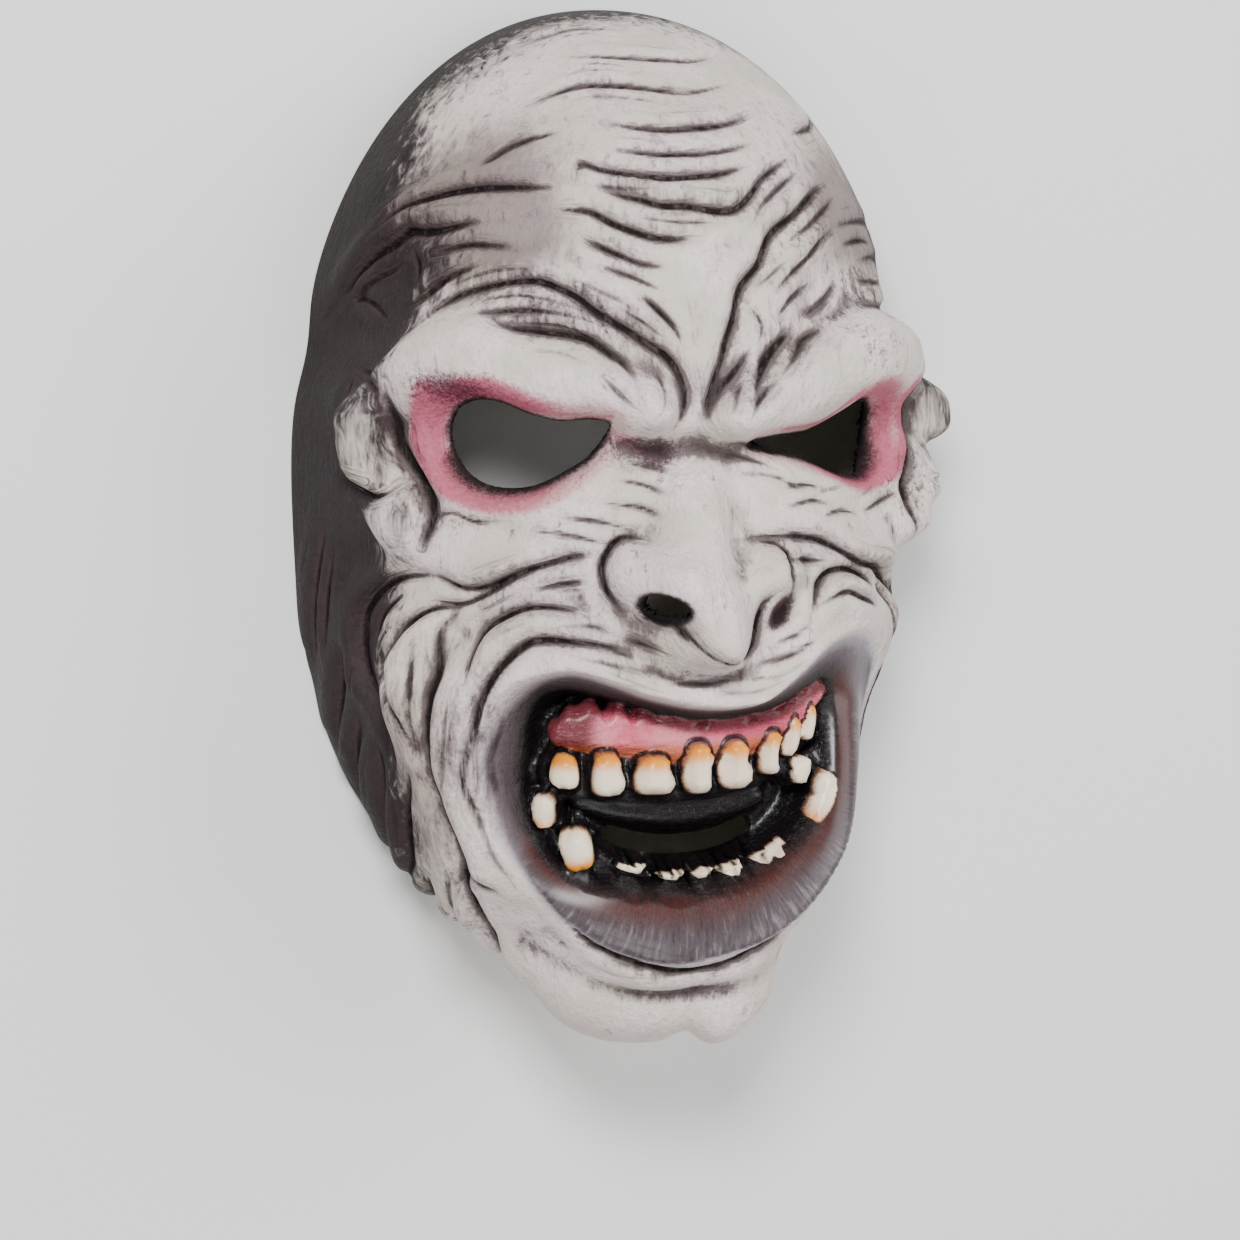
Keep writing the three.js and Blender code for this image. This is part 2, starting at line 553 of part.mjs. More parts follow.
function height(u, v) {
  const skin = CREASES.reduce((sum, form) => sum + crease(form, u, v), rise(u, v));
  return mouthHeight(u, v, skin);
}

// A place on the disc is (a, b) within the unit circle, the circle being the rim.
function placeOf(a, b) {
  const angle = Math.atan2(b, a);
  const radius = Math.hypot(a, b) * arcLength(angle);
  return [radius * Math.cos(angle), POLE_Y + radius * Math.sin(angle)];
}

function outerPoint(a, b) {
  const [u, v] = placeOf(a, b);
  return hungAt(u, v, height(u, v));
}

// The inside follows the lowest height near by, less the wall, so it stays smooth and clear.
function innerPoint(a, b) {
  const [u, v] = placeOf(a, b);
  let lowest = height(u, v);
  for (let k = 0; k < 8; k++) {
    const turn = (k * Math.PI) / 4;
    lowest = Math.min(lowest, height(u + INNER_REACH * Math.cos(turn), v + INNER_REACH * Math.sin(turn)));
  }
  return hungAt(u, v, Math.min(lowest, INNER_HIGHEST) - WALL, INNER_OVERHANG);
}

// Adaptive facets: the longest sides are halved first where the facets miss the surface most

class FacetedSheet {
  constructor(surface, sectors, rings) {
    this.surface = surface;
    this.places = [[0, 0]];
    this.points = [surface(0, 0)];
    this.middles = new Map();
    this.facets = new Map();
    this.sides = new Map();
    this.nextFacet = 0;
    const at = (ring, sector) => 1 + (ring - 1) * sectors + (sector % sectors);
    for (let ring = 1; ring <= rings; ring++) {
      for (let k = 0; k < sectors; k++) {
        const turn = (2 * Math.PI * k) / sectors;
        this.addPoint((ring / rings) * Math.cos(turn), (ring / rings) * Math.sin(turn));
      }
    }
    for (let k = 0; k < sectors; k++) {
      this.addFacet([0, at(1, k), at(1, k + 1)]);
      for (let ring = 1; ring < rings; ring++) {
        this.addFacet([at(ring, k), at(ring + 1, k), at(ring + 1, k + 1)]);
        this.addFacet([at(ring, k), at(ring + 1, k + 1), at(ring, k + 1)]);
      }
    }
  }

  addPoint(a, b) {
    this.places.push([a, b]);
    const point = this.surface(a, b);
    if (Math.hypot(a, b) > 1 - 1e-9) point.z = 0;
    this.points.push(point);
    return this.points.length - 1;
  }

  sideKey(i, j) {
    return i < j ? `${i},${j}` : `${j},${i}`;
  }

  addFacet(corners) {
    const id = this.nextFacet++;
    this.facets.set(id, corners);
    corners.forEach((corner, k) => {
      const key = this.sideKey(corner, corners[(k + 1) % 3]);
      if (!this.sides.has(key)) this.sides.set(key, new Set());
      this.sides.get(key).add(id);
    });
  }

  removeFacet(id) {
    const corners = this.facets.get(id);
    corners.forEach((corner, k) => {
      this.sides.get(this.sideKey(corner, corners[(k + 1) % 3])).delete(id);
    });
    this.facets.delete(id);
  }

  longestSide(id) {
    const corners = this.facets.get(id);
    let best = [corners[0], corners[1], -1];
    corners.forEach((corner, k) => {
      const next = corners[(k + 1) % 3];
      const [across, along] = [0, 1].map((k) => this.places[corner][k] - this.places[next][k]);
      const length = Math.hypot(DISC_WIDTH * across, DISC_HEIGHT * along);
      if (length > best[2]) best = [corner, next, length];
    });
    return best;
  }

  // Middle of a side on the surface: its place, how far it misses, and its point number once used.
  middle(i, j) {
    const key = this.sideKey(i, j);
    if (!this.middles.has(key)) {
      let a = (this.places[i][0] + this.places[j][0]) / 2;
      let b = (this.places[i][1] + this.places[j][1]) / 2;
      if (this.sides.get(key).size === 1) {
        const radius = Math.hypot(a, b);
        [a, b] = [a / radius, b / radius];
      }
      const straight = this.points[i].clone().add(this.points[j]).multiplyScalar(0.5);
      this.middles.set(key, { a, b, miss: straight.distanceTo(this.surface(a, b)) });
    }
    return this.middles.get(key);
  }

  splitSide(i, j) {
    const { a, b } = this.middle(i, j);
    const owners = [...this.sides.get(this.sideKey(i, j))];
    const point = this.addPoint(a, b);
    owners.forEach((id) => {
      const corners = this.facets.get(id);
      this.removeFacet(id);
      this.addFacet(corners.map((corner) => (corner === i ? point : corner)));
      this.addFacet(corners.map((corner) => (corner === j ? point : corner)));
    });
  }

  // Halve a facet across its longest side, first halving neighbours whose own longest side is longer.
  split(id) {
    while (this.facets.has(id)) {
      let here = id;
      for (;;) {
        const [i, j, length] = this.longestSide(here);
        const neighbour = [...this.sides.get(this.sideKey(i, j))].find((other) => other !== here);
        if (neighbour === undefined || this.longestSide(neighbour)[2] <= length + 1e-9) {
          this.splitSide(i, j);
          break;
        }
        here = neighbour;
      }
    }
  }

  miss(id) {
    const length = this.longestSide(id)[2];
    if (length < SHORTEST_SIDE) return 0;
    const corners = this.facets.get(id);
    const misses = corners.map((corner, k) => this.middle(corner, corners[(k + 1) % 3]).miss);
    return Math.max(...misses) + LENGTH_SHARE * length;
  }

  refine(budget) {
    for (let allowed = FIRST_ALLOWED_MISS; this.facets.size < budget; allowed *= NEXT_ALLOWED_MISS) {
      for (const id of [...this.facets.keys()]) {
        if (this.facets.size >= budget) return this;
        if (this.facets.has(id) && this.miss(id) > allowed) this.split(id);
      }
    }
    return this;
  }

  rimLoop() {
    const onRim = this.places.map((place, i) => [Math.atan2(place[1], place[0]), i])
      .filter(([, i]) => Math.hypot(...this.places[i]) > 1 - 1e-9);
    return onRim.sort((p, q) => p[0] - q[0]).map(([, i]) => i);
  }
}

// Solids

const wasm = await Module();
wasm.setup();

function toManifold(points, corners) {
  const vertProperties = new Float32Array(points.flatMap((point) => [point.x, point.y, point.z]));
  const triVerts = new Uint32Array(corners.flat());
  return new wasm.Manifold(new wasm.Mesh({ numProp: 3, vertProperties, triVerts }));
}

// Close a sheet with a wall from its rim down to a level below and a flat cap there.
function closedSolid(sheet, drop) {
  const points = sheet.points.map((point) => point.clone());
  const corners = [...sheet.facets.values()].map((facet) => [...facet]);
  let loop = sheet.rimLoop();
  if (drop > 0) {
    const lower = loop.map((i) => {
      points.push(points[i].clone().setZ(-drop));
      return points.length - 1;
    });
    loop.forEach((i, k) => {
      const next = (k + 1) % loop.length;
      corners.push([i, lower[k], lower[next]], [i, lower[next], loop[next]]);
    });
    loop = lower;
  }
  const outline = loop.map((i) => new THREE.Vector2(points[i].x, points[i].y));
  THREE.ShapeUtils.triangulateShape(outline, []).forEach(([a, b, c]) => {
    corners.push([loop[c], loop[b], loop[a]]);
  });
  return toManifold(points, corners);
}

// A straight cutter through the wall, its section following an outline given on the face.
function holeCutter(outline) {
  const section = outline.map(([u, v]) => {
    const point = raisedAt(u, v, height(u, v) - WALL);
    return new THREE.Vector2(point.x, point.y);
  });
  if (THREE.ShapeUtils.isClockWise(section)) section.reverse();
  const at = (z) => section.map((place) => new THREE.Vector3(place.x, place.y, z));
  const points = [...at(CUTTER_LOW), ...at(CUTTER_HIGH)];
  const count = section.length;
  const corners = [];
  for (let k = 0; k < count; k++) {
    const next = (k + 1) % count;
    corners.push([k, next, count + next], [k, count + next, count + k]);
  }
  THREE.ShapeUtils.triangulateShape(section, []).forEach(([a, b, c]) => {
    corners.push([c, b, a], [count + a, count + b, count + c]);
  });
  return toManifold(points, corners);
}

function ellipse([u, v], [halfLong, halfShort], turn, count = 10) {
  const angle = radians(turn);
  return Array.from({ length: count }, (_, k) => {
    const t = (2 * Math.PI * k) / count;
    const [x, y] = [halfLong * Math.cos(t), halfShort * Math.sin(t)];
    return [u + x * Math.cos(angle) - y * Math.sin(angle), v + x * Math.sin(angle) + y * Math.cos(angle)];
  });
}

// A closed band of constant half width around an open path, for the slit in the mouth.
function band(path, half) {
  const offset = (p, i, side) => {
    const [a, b] = [path[Math.max(i - 1, 0)], path[Math.min(i + 1, path.length - 1)]];
    const length = Math.hypot(b.u - a.u, b.v - a.v);
    return [p.u + (side * half * (a.v - b.v)) / length, p.v + (side * half * (b.u - a.u)) / length];
  };
  const every = path.filter((_, i) => i % 3 === 0 || i === path.length - 1);
  const sides = [1, -1].map((side) => every.map((p) => offset(p, path.indexOf(p), side)));
  return [...sides[0], ...sides[1].reverse()];
}

const LEFT_EYE = [
  [-57, 5], [-55, 9], [-50, 10.5], [-44, 9], [-38, 6], [-31, 4], [-25, 4.2], [-20, 3.2], [-21.5, 0],
  [-25, -4], [-31, -7.5], [-37, -10], [-43, -10.5], [-49, -9.3], [-53.5, -5.5], [-56.5, 0],
].map((point) => carriedOn(point));
const RIGHT_EYE = [
  [12.5, -1.6], [19, -0.4], [27, 0.3], [33, 2.6], [40, 6], [46, 8.3], [52, 9.5], [57, 8], [59, 3.5],
  [58, -1.5], [54, -6], [49, -8.5], [43, -9], [36, -8], [29, -5.8], [20, -3.6],
].map((point) => carriedOn(point));
const LEFT_NOSTRIL = ellipse(NOSTRIL_AT, NOSTRIL_HALF, NOSTRIL_TURN, 12);

const outer = closedSolid(new FacetedSheet(outerPoint, 40, 5).refine(OUTER_FACETS), 0);
const inner = closedSolid(new FacetedSheet(innerPoint, 32, 5).refine(INNER_FACETS), BASE_DROP);
const holes = [LEFT_EYE, RIGHT_EYE, LEFT_NOSTRIL, band(BREATHING_SLIT, SLIT_HALF)].map(holeCutter);
const shell = holes.reduce((solid, hole) => solid.subtract(hole), outer.subtract(inner));

function maskMesh(solid) {
  const { vertProperties, triVerts, numProp } = solid.getMesh();
  const positions = new Float32Array((vertProperties.length / numProp) * 3);
  for (let i = 0; i < positions.length; i++) {
    positions[i] = vertProperties[Math.floor(i / 3) * numProp + (i % 3)];
  }
  const geometry = new THREE.BufferGeometry();
  geometry.setAttribute("position", new THREE.BufferAttribute(positions, 3));
  geometry.setIndex(new THREE.BufferAttribute(new Uint32Array(triVerts), 1));
  geometry.computeVertexNormals();
  const latex = new THREE.MeshStandardMaterial({ name: "latex", color: 0xd6d5cf, roughness: 0.55 });
  latex.metalness = 0;
  const mesh = new THREE.Mesh(geometry, latex);
  mesh.name = "mask";
  return mesh;
}

// The origin is the middle of the mask's outline, on the level of the rim.
function centred(mesh) {
  mesh.geometry.computeBoundingBox();
  const { min, max } = mesh.geometry.boundingBox;
  mesh.position.set(-(min.x + max.x) / 2, -(min.y + max.y) / 2, -min.z);
  return mesh;
}

const mask = new THREE.Group();
mask.add(centred(maskMesh(shell)));

export default mask;
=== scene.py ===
"""Zombie mask: a hollow latex casting with its painted finish, lying face up on a pale floor."""
import logging
import math
from dataclasses import dataclass, field, replace
from enum import Enum
from typing import Any, Sequence

import bpy
import numpy as np
from mathutils import Matrix, Vector


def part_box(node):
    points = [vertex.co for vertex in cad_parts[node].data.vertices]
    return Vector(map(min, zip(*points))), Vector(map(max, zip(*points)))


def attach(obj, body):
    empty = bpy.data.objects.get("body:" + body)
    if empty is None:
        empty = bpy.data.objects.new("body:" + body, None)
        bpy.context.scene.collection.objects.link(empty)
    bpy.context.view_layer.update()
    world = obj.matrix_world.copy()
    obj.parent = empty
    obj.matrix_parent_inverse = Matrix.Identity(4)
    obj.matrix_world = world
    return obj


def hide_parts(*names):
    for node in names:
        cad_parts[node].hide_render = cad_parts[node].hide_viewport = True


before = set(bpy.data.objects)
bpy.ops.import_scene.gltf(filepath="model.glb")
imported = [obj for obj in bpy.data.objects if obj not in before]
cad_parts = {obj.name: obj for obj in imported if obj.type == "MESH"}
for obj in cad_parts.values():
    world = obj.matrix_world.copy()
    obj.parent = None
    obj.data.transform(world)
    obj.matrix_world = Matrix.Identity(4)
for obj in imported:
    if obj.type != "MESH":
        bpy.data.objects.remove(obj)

LOG = logging.getLogger("mask")
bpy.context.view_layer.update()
MM = 0.001
SEED = 11
Array = np.ndarray
Colour = tuple[float, float, float]


def mix(a: Any, b: Any, t: Any) -> Any:
    """Straight blend from a to b by t."""
    return a + (b - a) * t


def smooth(low: float, high: float, x: Array) -> Array:
    """Smooth step: 0 below low, 1 above high, an S between them."""
    t = np.clip((x - low) / (high - low), 0.0, 1.0)
    return t * t * (3.0 - 2.0 * t)


def unit(vectors: Array) -> Array:
    """Vectors along the last axis, each divided by its length."""
    return vectors / np.maximum(np.linalg.norm(vectors, axis=-1, keepdims=True), 1e-9)


@dataclass
class Dome:
    """The plain dome that carries the carving, in mm, with its rim on z = 0.

    A place on it is (u, v): arc lengths over the dome from its pole, to the right and upwards.
    """

    half_width: float = 71.5
    half_height: float = 109.0
    middle_y: float = -17.0
    taper: float = 0.05
    roundness_above: float = 2.1
    roundness_below: float = 2.35
    depth: float = 70.0
    pole_y: float = -25.0
    chin_tuck: float = 10.0
    chin_tuck_below: float = 45.0
    angle_steps: int = 360
    share_steps: int = 400
    lengths: Array = field(init=False)
    radii: Array = field(init=False)
    heights: Array = field(init=False)

    def __post_init__(self) -> None:
        """Fills the tables of radius and height over angle and share of the meridian's length.

        A meridian is z = depth (1 - s^p)^m over s from 0 to 1, with p and m changing with the angle.
        """
        turn = np.linspace(-math.pi, math.pi, 2401)
        cosine, sine = np.cos(turn), np.sin(turn)
        power = 2.0 / np.where(sine < 0, self.roundness_below, self.roundness_above)
        across = np.sign(cosine) * np.abs(cosine) ** power
        along = np.sign(sine) * np.abs(sine) ** power
        x = self.half_width * across * (1 + self.taper * along)
        y = self.middle_y + self.half_height * along - self.pole_y
        angle = np.linspace(-math.pi, math.pi, self.angle_steps + 1)
        ring = np.interp(angle, np.unwrap(np.arctan2(y, x)), np.hypot(x, y), period=2 * math.pi)
        up = np.clip(np.sin(angle), 0, 1)[:, None] ** 2
        down = np.clip(-np.sin(angle), 0, 1)[:, None] ** 3
        s = np.sin(np.linspace(0, math.pi / 2, self.share_steps + 1))[None]
        flatness, fullness = 2.7 + 0.9 * up + 5.0 * down, 0.85 - 0.3 * up - 0.55 * down
        z = self.depth * np.maximum(1 - s ** flatness, 0) ** fullness
        rho = s * ring[:, None]
        arc = np.cumsum(np.hypot(np.diff(rho, axis=1, prepend=0.0),
                                 np.diff(z, axis=1, prepend=self.depth)), axis=1)
        share = np.linspace(0, 1, self.share_steps + 1)
        self.lengths = arc[:, -1]
        self.radii = np.array([np.interp(share * row[-1], row, r) for row, r in zip(arc, rho)])
        self.heights = np.array([np.interp(share * row[-1], row, r) for row, r in zip(arc, z)])

    def rim_length(self, angle: Array) -> Array:
        """Arc length from the pole to the rim at an angle."""
        return np.interp(angle, np.linspace(-math.pi, math.pi, self.angle_steps + 1), self.lengths)

    def at(self, u: Array, v: Array) -> Array:
        """Points of the dome, by bilinear look-up in the tables.

        Args:
            u: Arc lengths to the right of the pole's meridian.
            v: Arc lengths upwards, with the pole at pole_y.

        Returns:
            Points, with x, y and z along the last axis.
        """
        angle = np.arctan2(v - self.pole_y, u)
        place = (angle + math.pi) / (2 * math.pi) * self.angle_steps
        i = np.clip(np.floor(place).astype(int), 0, self.angle_steps - 1)
        fi = place - i
        length = mix(self.lengths[i], self.lengths[i + 1], fi)
        step = np.clip(np.hypot(u, v - self.pole_y) / length, 0, 1) * self.share_steps
        j = np.clip(np.floor(step).astype(int), 0, self.share_steps - 1)
        fj = step - j
        rho, z = (mix(mix(t[i, j], t[i, j + 1], fj), mix(t[i + 1, j], t[i + 1, j + 1], fj), fi)
                  for t in (self.radii, self.heights))
        below = np.clip(-np.sin(angle), 0, 1) ** 2
        tuck = self.chin_tuck * below * np.clip(1 - z / self.chin_tuck_below, 0, 1) ** 2
        return np.stack([rho * np.cos(angle), self.pole_y + rho * np.sin(angle) + tuck, z], axis=-1)

    def reach(self) -> tuple[float, float]:
        """The rim's furthest X to the left and its furthest Y upwards."""
        angle = np.linspace(-math.pi, math.pi, 4 * self.angle_steps + 1)
        length = self.rim_length(angle)
        rim = self.at(length * np.cos(angle), self.pole_y + length * np.sin(angle))
        return float(rim[:, 0].min()), float(rim[:, 1].max())

    def rim_gap(self, u: Array, v: Array) -> Array:
        """Arc length left between a place and the rim."""
        return self.rim_length(np.arctan2(v - self.pole_y, u)) - np.hypot(u, v - self.pole_y)

    def normal(self, u: Array, v: Array, rim_band: float = 9.0) -> Array:
        """Outward normals, by central differences, laid level near the rim so that it stays flat."""
        angle, radius = np.arctan2(v - self.pole_y, u), np.hypot(u, v - self.pole_y)
        gap = self.rim_gap(u, v)
        held = np.minimum(radius, radius + gap - 1.5)
        x, y = held * np.cos(angle), self.pole_y + held * np.sin(angle)
        step = 0.7
        across = self.at(x + step, y) - self.at(x - step, y)
        along = self.at(x, y + step) - self.at(x, y - step)
        normal = unit(np.cross(across, along))
        normal[..., 2] *= smooth(0.0, rim_band, gap)
        return unit(normal)


@dataclass(frozen=True)
class Sight:
    """The photograph's line of sight to the face, in mm."""

    yaw: float = 19.0
    pitch: float = 5.0
    pixels_per_mm: float = 4.62
    distance: float = 1400.0
    anchor: tuple[float, float, float] = (0.0, 0.0, 63.0)
    anchor_pixel: tuple[float, float] = (690.0, 435.0)
    photo_size: float = 1240.0

    def axes(self) -> tuple[Array, Array, Array]:
        """Unit vectors to the picture's right, up it, and back to the eye."""
        yaw, pitch = math.radians(self.yaw), math.radians(self.pitch)
        back = np.array([-math.sin(yaw) * math.cos(pitch), math.sin(pitch),
                         math.cos(yaw) * math.cos(pitch)])
        right = unit(np.cross([0.0, 1.0, 0.0], back))
        return right, np.cross(back, right), back

    def eye(self) -> Array:
        """Where the eye stands, so that the anchor falls on its pixel."""
        right, up, back = self.axes()
        aside = (self.anchor_pixel[0] - self.photo_size / 2) / self.pixels_per_mm
        above = (self.photo_size / 2 - self.anchor_pixel[1]) / self.pixels_per_mm
        return np.array(self.anchor) - aside * right - above * up + self.distance * back

    def seen(self, points: Array) -> Array:
        """Places in the picture of points, in mm at the anchor's distance."""
        right, up, back = self.axes()
        away = points - self.eye()
        return np.stack([away @ right, away @ up], axis=-1) * (self.distance / -(away @ back))[..., None]


@dataclass(frozen=True)
class Near:
    """What a path says at each place: distance, side, share of the way along, width and height."""

    distance: Array
    side: Array
    along: Array
    width: Array
    height: Array


class Path:
    """A smooth curve on the face through a few given points (u, v, half width, height)."""

    def __init__(self, points: Sequence[Sequence[float]], closed: bool = False, step: float = 1.6) -> None:
        """Samples a Catmull-Rom curve through the points about once a step, in mm."""
        knots = np.array([tuple(p) + (1.0,) * (4 - len(p)) for p in points], float)
        if closed:
            ring = np.concatenate([knots[-1:], knots, knots[:2]])
        else:
            ring = np.concatenate([2 * knots[:1] - knots[1:2], knots, 2 * knots[-1:] - knots[-2:-1]])
        rows = []
        for a, b, c, d in zip(ring[:-3], ring[1:-2], ring[2:-1], ring[3:]):
            count = max(int(np.hypot(*(c - b)[:2]) / step), 1)
            t = (np.arange(count) / count)[:, None]
            rows.append(0.5 * (2 * b + (c - a) * t + (2 * a - 5 * b + 4 * c - d) * t ** 2
                               + (3 * b - a - 3 * c + d) * t ** 3))
        self.closed = closed
        self.samples = np.concatenate(rows + [knots[:1] if closed else knots[-1:]])
        self.length = float(np.hypot(*np.diff(self.samples[:, :2], axis=0).T).sum())

    def nearest(self, u: Array, v: Array, reach: float = 400.0) -> Near:
        """The nearest point of the path to each place, as whole arrays, one segment at a time.

        Args:
            u: Places' first coordinates.
            v: Places' second coordinates.
            reach: Places further than this from the path are skipped.

        Returns:
            What the path says there. Skipped places have an infinite distance.
        """
        low, high = self.samples[:, :2].min(0) - reach, self.samples[:, :2].max(0) + reach
        inside = (u > low[0]) & (u < high[0]) & (v > low[1]) & (v < high[1])
        pu, pv = u[inside], v[inside]
        best = np.zeros((5, pu.size))
        best[0], best[1] = np.inf, 1.0
        count = len(self.samples) - 1
        for k, (a, b) in enumerate(zip(self.samples[:-1], self.samples[1:])):
            du, dv = b[0] - a[0], b[1] - a[1]
            spread = reach + math.hypot(du, dv) / 2
            aside, above = np.abs(pu - a[0] - du / 2), np.abs(pv - a[1] - dv / 2)
            close = np.nonzero((aside < spread) & (above < spread))[0]
            eu, ev = pu[close] - a[0], pv[close] - a[1]
            t = np.clip((eu * du + ev * dv) / max(du * du + dv * dv, 1e-9), 0, 1)
            eu, ev = eu - t * du, ev - t * dv
            distance = np.hypot(eu, ev)
            nearer = distance < best[0, close]
            into, t = close[nearer], t[nearer]
            best[0, into] = distance[nearer]
            best[1, into] = np.where(du * ev[nearer] - dv * eu[nearer] < 0, -1.0, 1.0)
            best[2, into] = (k + t) / count
            best[3, into] = mix(a[2], b[2], t)
            best[4, into] = mix(a[3], b[3], t)
        full = [np.full(u.shape, fill) for fill in (np.inf, 1.0, 0.0, 1.0, 0.0)]
        for into, value in zip(full, best):
            into[inside] = value
        return Near(*full)

    def contains(self, u: Array, v: Array) -> Array:
        """Whether each place lies within this closed path, by the even-odd rule."""
        low, high = self.samples[:, :2].min(0), self.samples[:, :2].max(0)
        boxed = (u > low[0]) & (u < high[0]) & (v > low[1]) & (v < high[1])
        pu, pv = u[boxed], v[boxed]
        odd = np.zeros(pu.shape, bool)
        for a, b in zip(self.samples[:-1], self.samples[1:]):
            if abs(b[1] - a[1]) > 1e-9:
                crosses = (a[1] > pv) != (b[1] > pv)
                odd ^= crosses & (pu < (b[0] - a[0]) * (pv - a[1]) / (b[1] - a[1]) + a[0])
        inside = np.zeros(u.shape, bool)
        inside[boxed] = odd
        return inside

    def depth(self, u: Array, v: Array, reach: float = 400.0) -> Array:
        """Distance to this closed path, positive within it and negative outside."""
        distance = np.minimum(self.nearest(u, v, reach).distance, reach)
        return np.where(self.contains(u, v), distance, -distance)


def turned(at: Sequence[float], turn: float, u: Array, v: Array) -> tuple[Array, Array]:
    """Coordinates about a middle, along axes turned by some degrees."""
    angle = math.radians(turn)
    x, y = u - at[0], v - at[1]
    return x * math.cos(angle) + y * math.sin(angle), y * math.cos(angle) - x * math.sin(angle)


@dataclass(frozen=True)
class Swelling:
    """A rounded swelling or hollow: height exp(-q^power), q the distance in its own radii."""

    at: tuple[float, float]
    radii: tuple[float, float]
    height: float
    turn: float = 0.0
    power: float = 2.0

    def rise(self, u: Array, v: Array) -> Array:
        """Height added at each place."""
        along, across = turned(self.at, self.turn, u, v)
        return self.height * np.exp(-np.hypot(along / self.radii[0], across / self.radii[1]) ** self.power)

    def other_side(self) -> "Swelling":
        """The same form mirrored across the face."""
        return Swelling((-self.at[0], self.at[1]), self.radii, self.height, -self.turn, self.power)


@dataclass(frozen=True)
class Roll:
    """A roll of flesh along a path: height exp(-(distance / width)^power)."""

    path: Path
    power: float = 2.6

    def rise(self, u: Array, v: Array) -> Array:
        """Height added at each place."""
        near = self.path.nearest(u, v, reach=24.0)
        return near.height * np.exp(-(near.distance / near.width) ** self.power)


@dataclass(frozen=True)
class Crease:
    """A groove fading at both ends, with puffed skin beside it, dark wash in it and painted shade around
    it.

    Side is +1 or -1 for a fold that stands up on one side only, and 0 for both.
    """

    path: Path
    depth: float = 1.6
    width: float = 1.0
    puff: float = 0.75
    side: int = 0
    ink: float = 1.0

    def fade(self, near: Near) -> Array:
        """How far the crease is open along its way: the root of a half sine."""
        return np.sin(math.pi * np.clip(near.along, 0.015, 0.985)) ** 0.5

    def rise_and_shade_halo(self, near: Near) -> tuple[Array, Array]:
        """Height added at each place, and the soft painted shade beside the groove from 0 to 1.

        The groove is exp(-(distance / width)^1.4), and the puffed skin a bell 2.6 widths away.
        """
        fade = self.fade(near)
        lifted = (self.side == 0) | (near.side == self.side)
        puffed = np.exp(-((near.distance - 2.6 * self.width) / (2.6 * self.width)) ** 2)
        groove = np.exp(-(near.distance / (0.85 * self.width)) ** 1.4)
        rise = self.depth * fade * (self.puff * np.where(lifted, 1.0, 0.12) * puffed - groove)
        halo = np.exp(-(near.distance / (2.3 * self.width + 0.6)) ** 1.4) * fade
        # Painted shade: stronger on the puffed side of a one-sided fold, where its shade falls.
        share = np.where(lifted & (self.side != 0), 0.62, 0.42) * min(1.0, 0.35 + 0.3 * self.depth)
        return rise, halo * share * self.ink

    def stroke(self, near: Near) -> tuple[Array, Array]:
        """The thin wash line: signed distance in its own half widths, and its strength."""
        fade = self.fade(near)
        half = 0.10 + 0.31 * self.width * fade
        within = 1.0 - smooth(1.0, 1.8, near.distance)
        strength = fade * min(1.0, 0.3 + 0.28 * self.depth) * self.ink * within
        return np.clip(near.side * near.distance / half, -9.0, 9.0), strength


@dataclass(frozen=True)
class Tooth:
    """A tooth: its middle, half width and half height, turn, level and stain.

    Bend curves it to one side or into a crescent. A tucked tooth has its foot behind the lip.
    """

    at: tuple[float, float]
    half: tuple[float, float]
    turn: float = 0.0
    level: float = -5.0
    stain: float = 0.5
    upper: bool = True
    bend: tuple[float, float] = (0.0, 0.0)
    tucked: bool = False

    def local(self, u: Array, v: Array) -> tuple[Array, Array, Array]:
        """Coordinates across and along the tooth in its half sizes, and the rounded distance q."""
        x, y = turned(self.at, self.turn, u, v)
        x, y = x / self.half[0], y / self.half[1]
        x, y = x + self.bend[0] * y * y, y + self.bend[1] * x * x
        narrow = 1.0 + (0.16 if self.upper else -0.1) * y
        return x, y, (np.abs(x * narrow) ** 3 + np.abs(y) ** 3) ** (1 / 3)


@dataclass(frozen=True)
class Line:
    """A crease as read off the photograph: its points on the plain dome, depth, width and kind."""

    points: tuple[tuple[float, float], ...]
    depth: float = 1.2
    width: float = 0.9
    side: int = 0
    puff: float = 0.75
    ink: float = 1.0


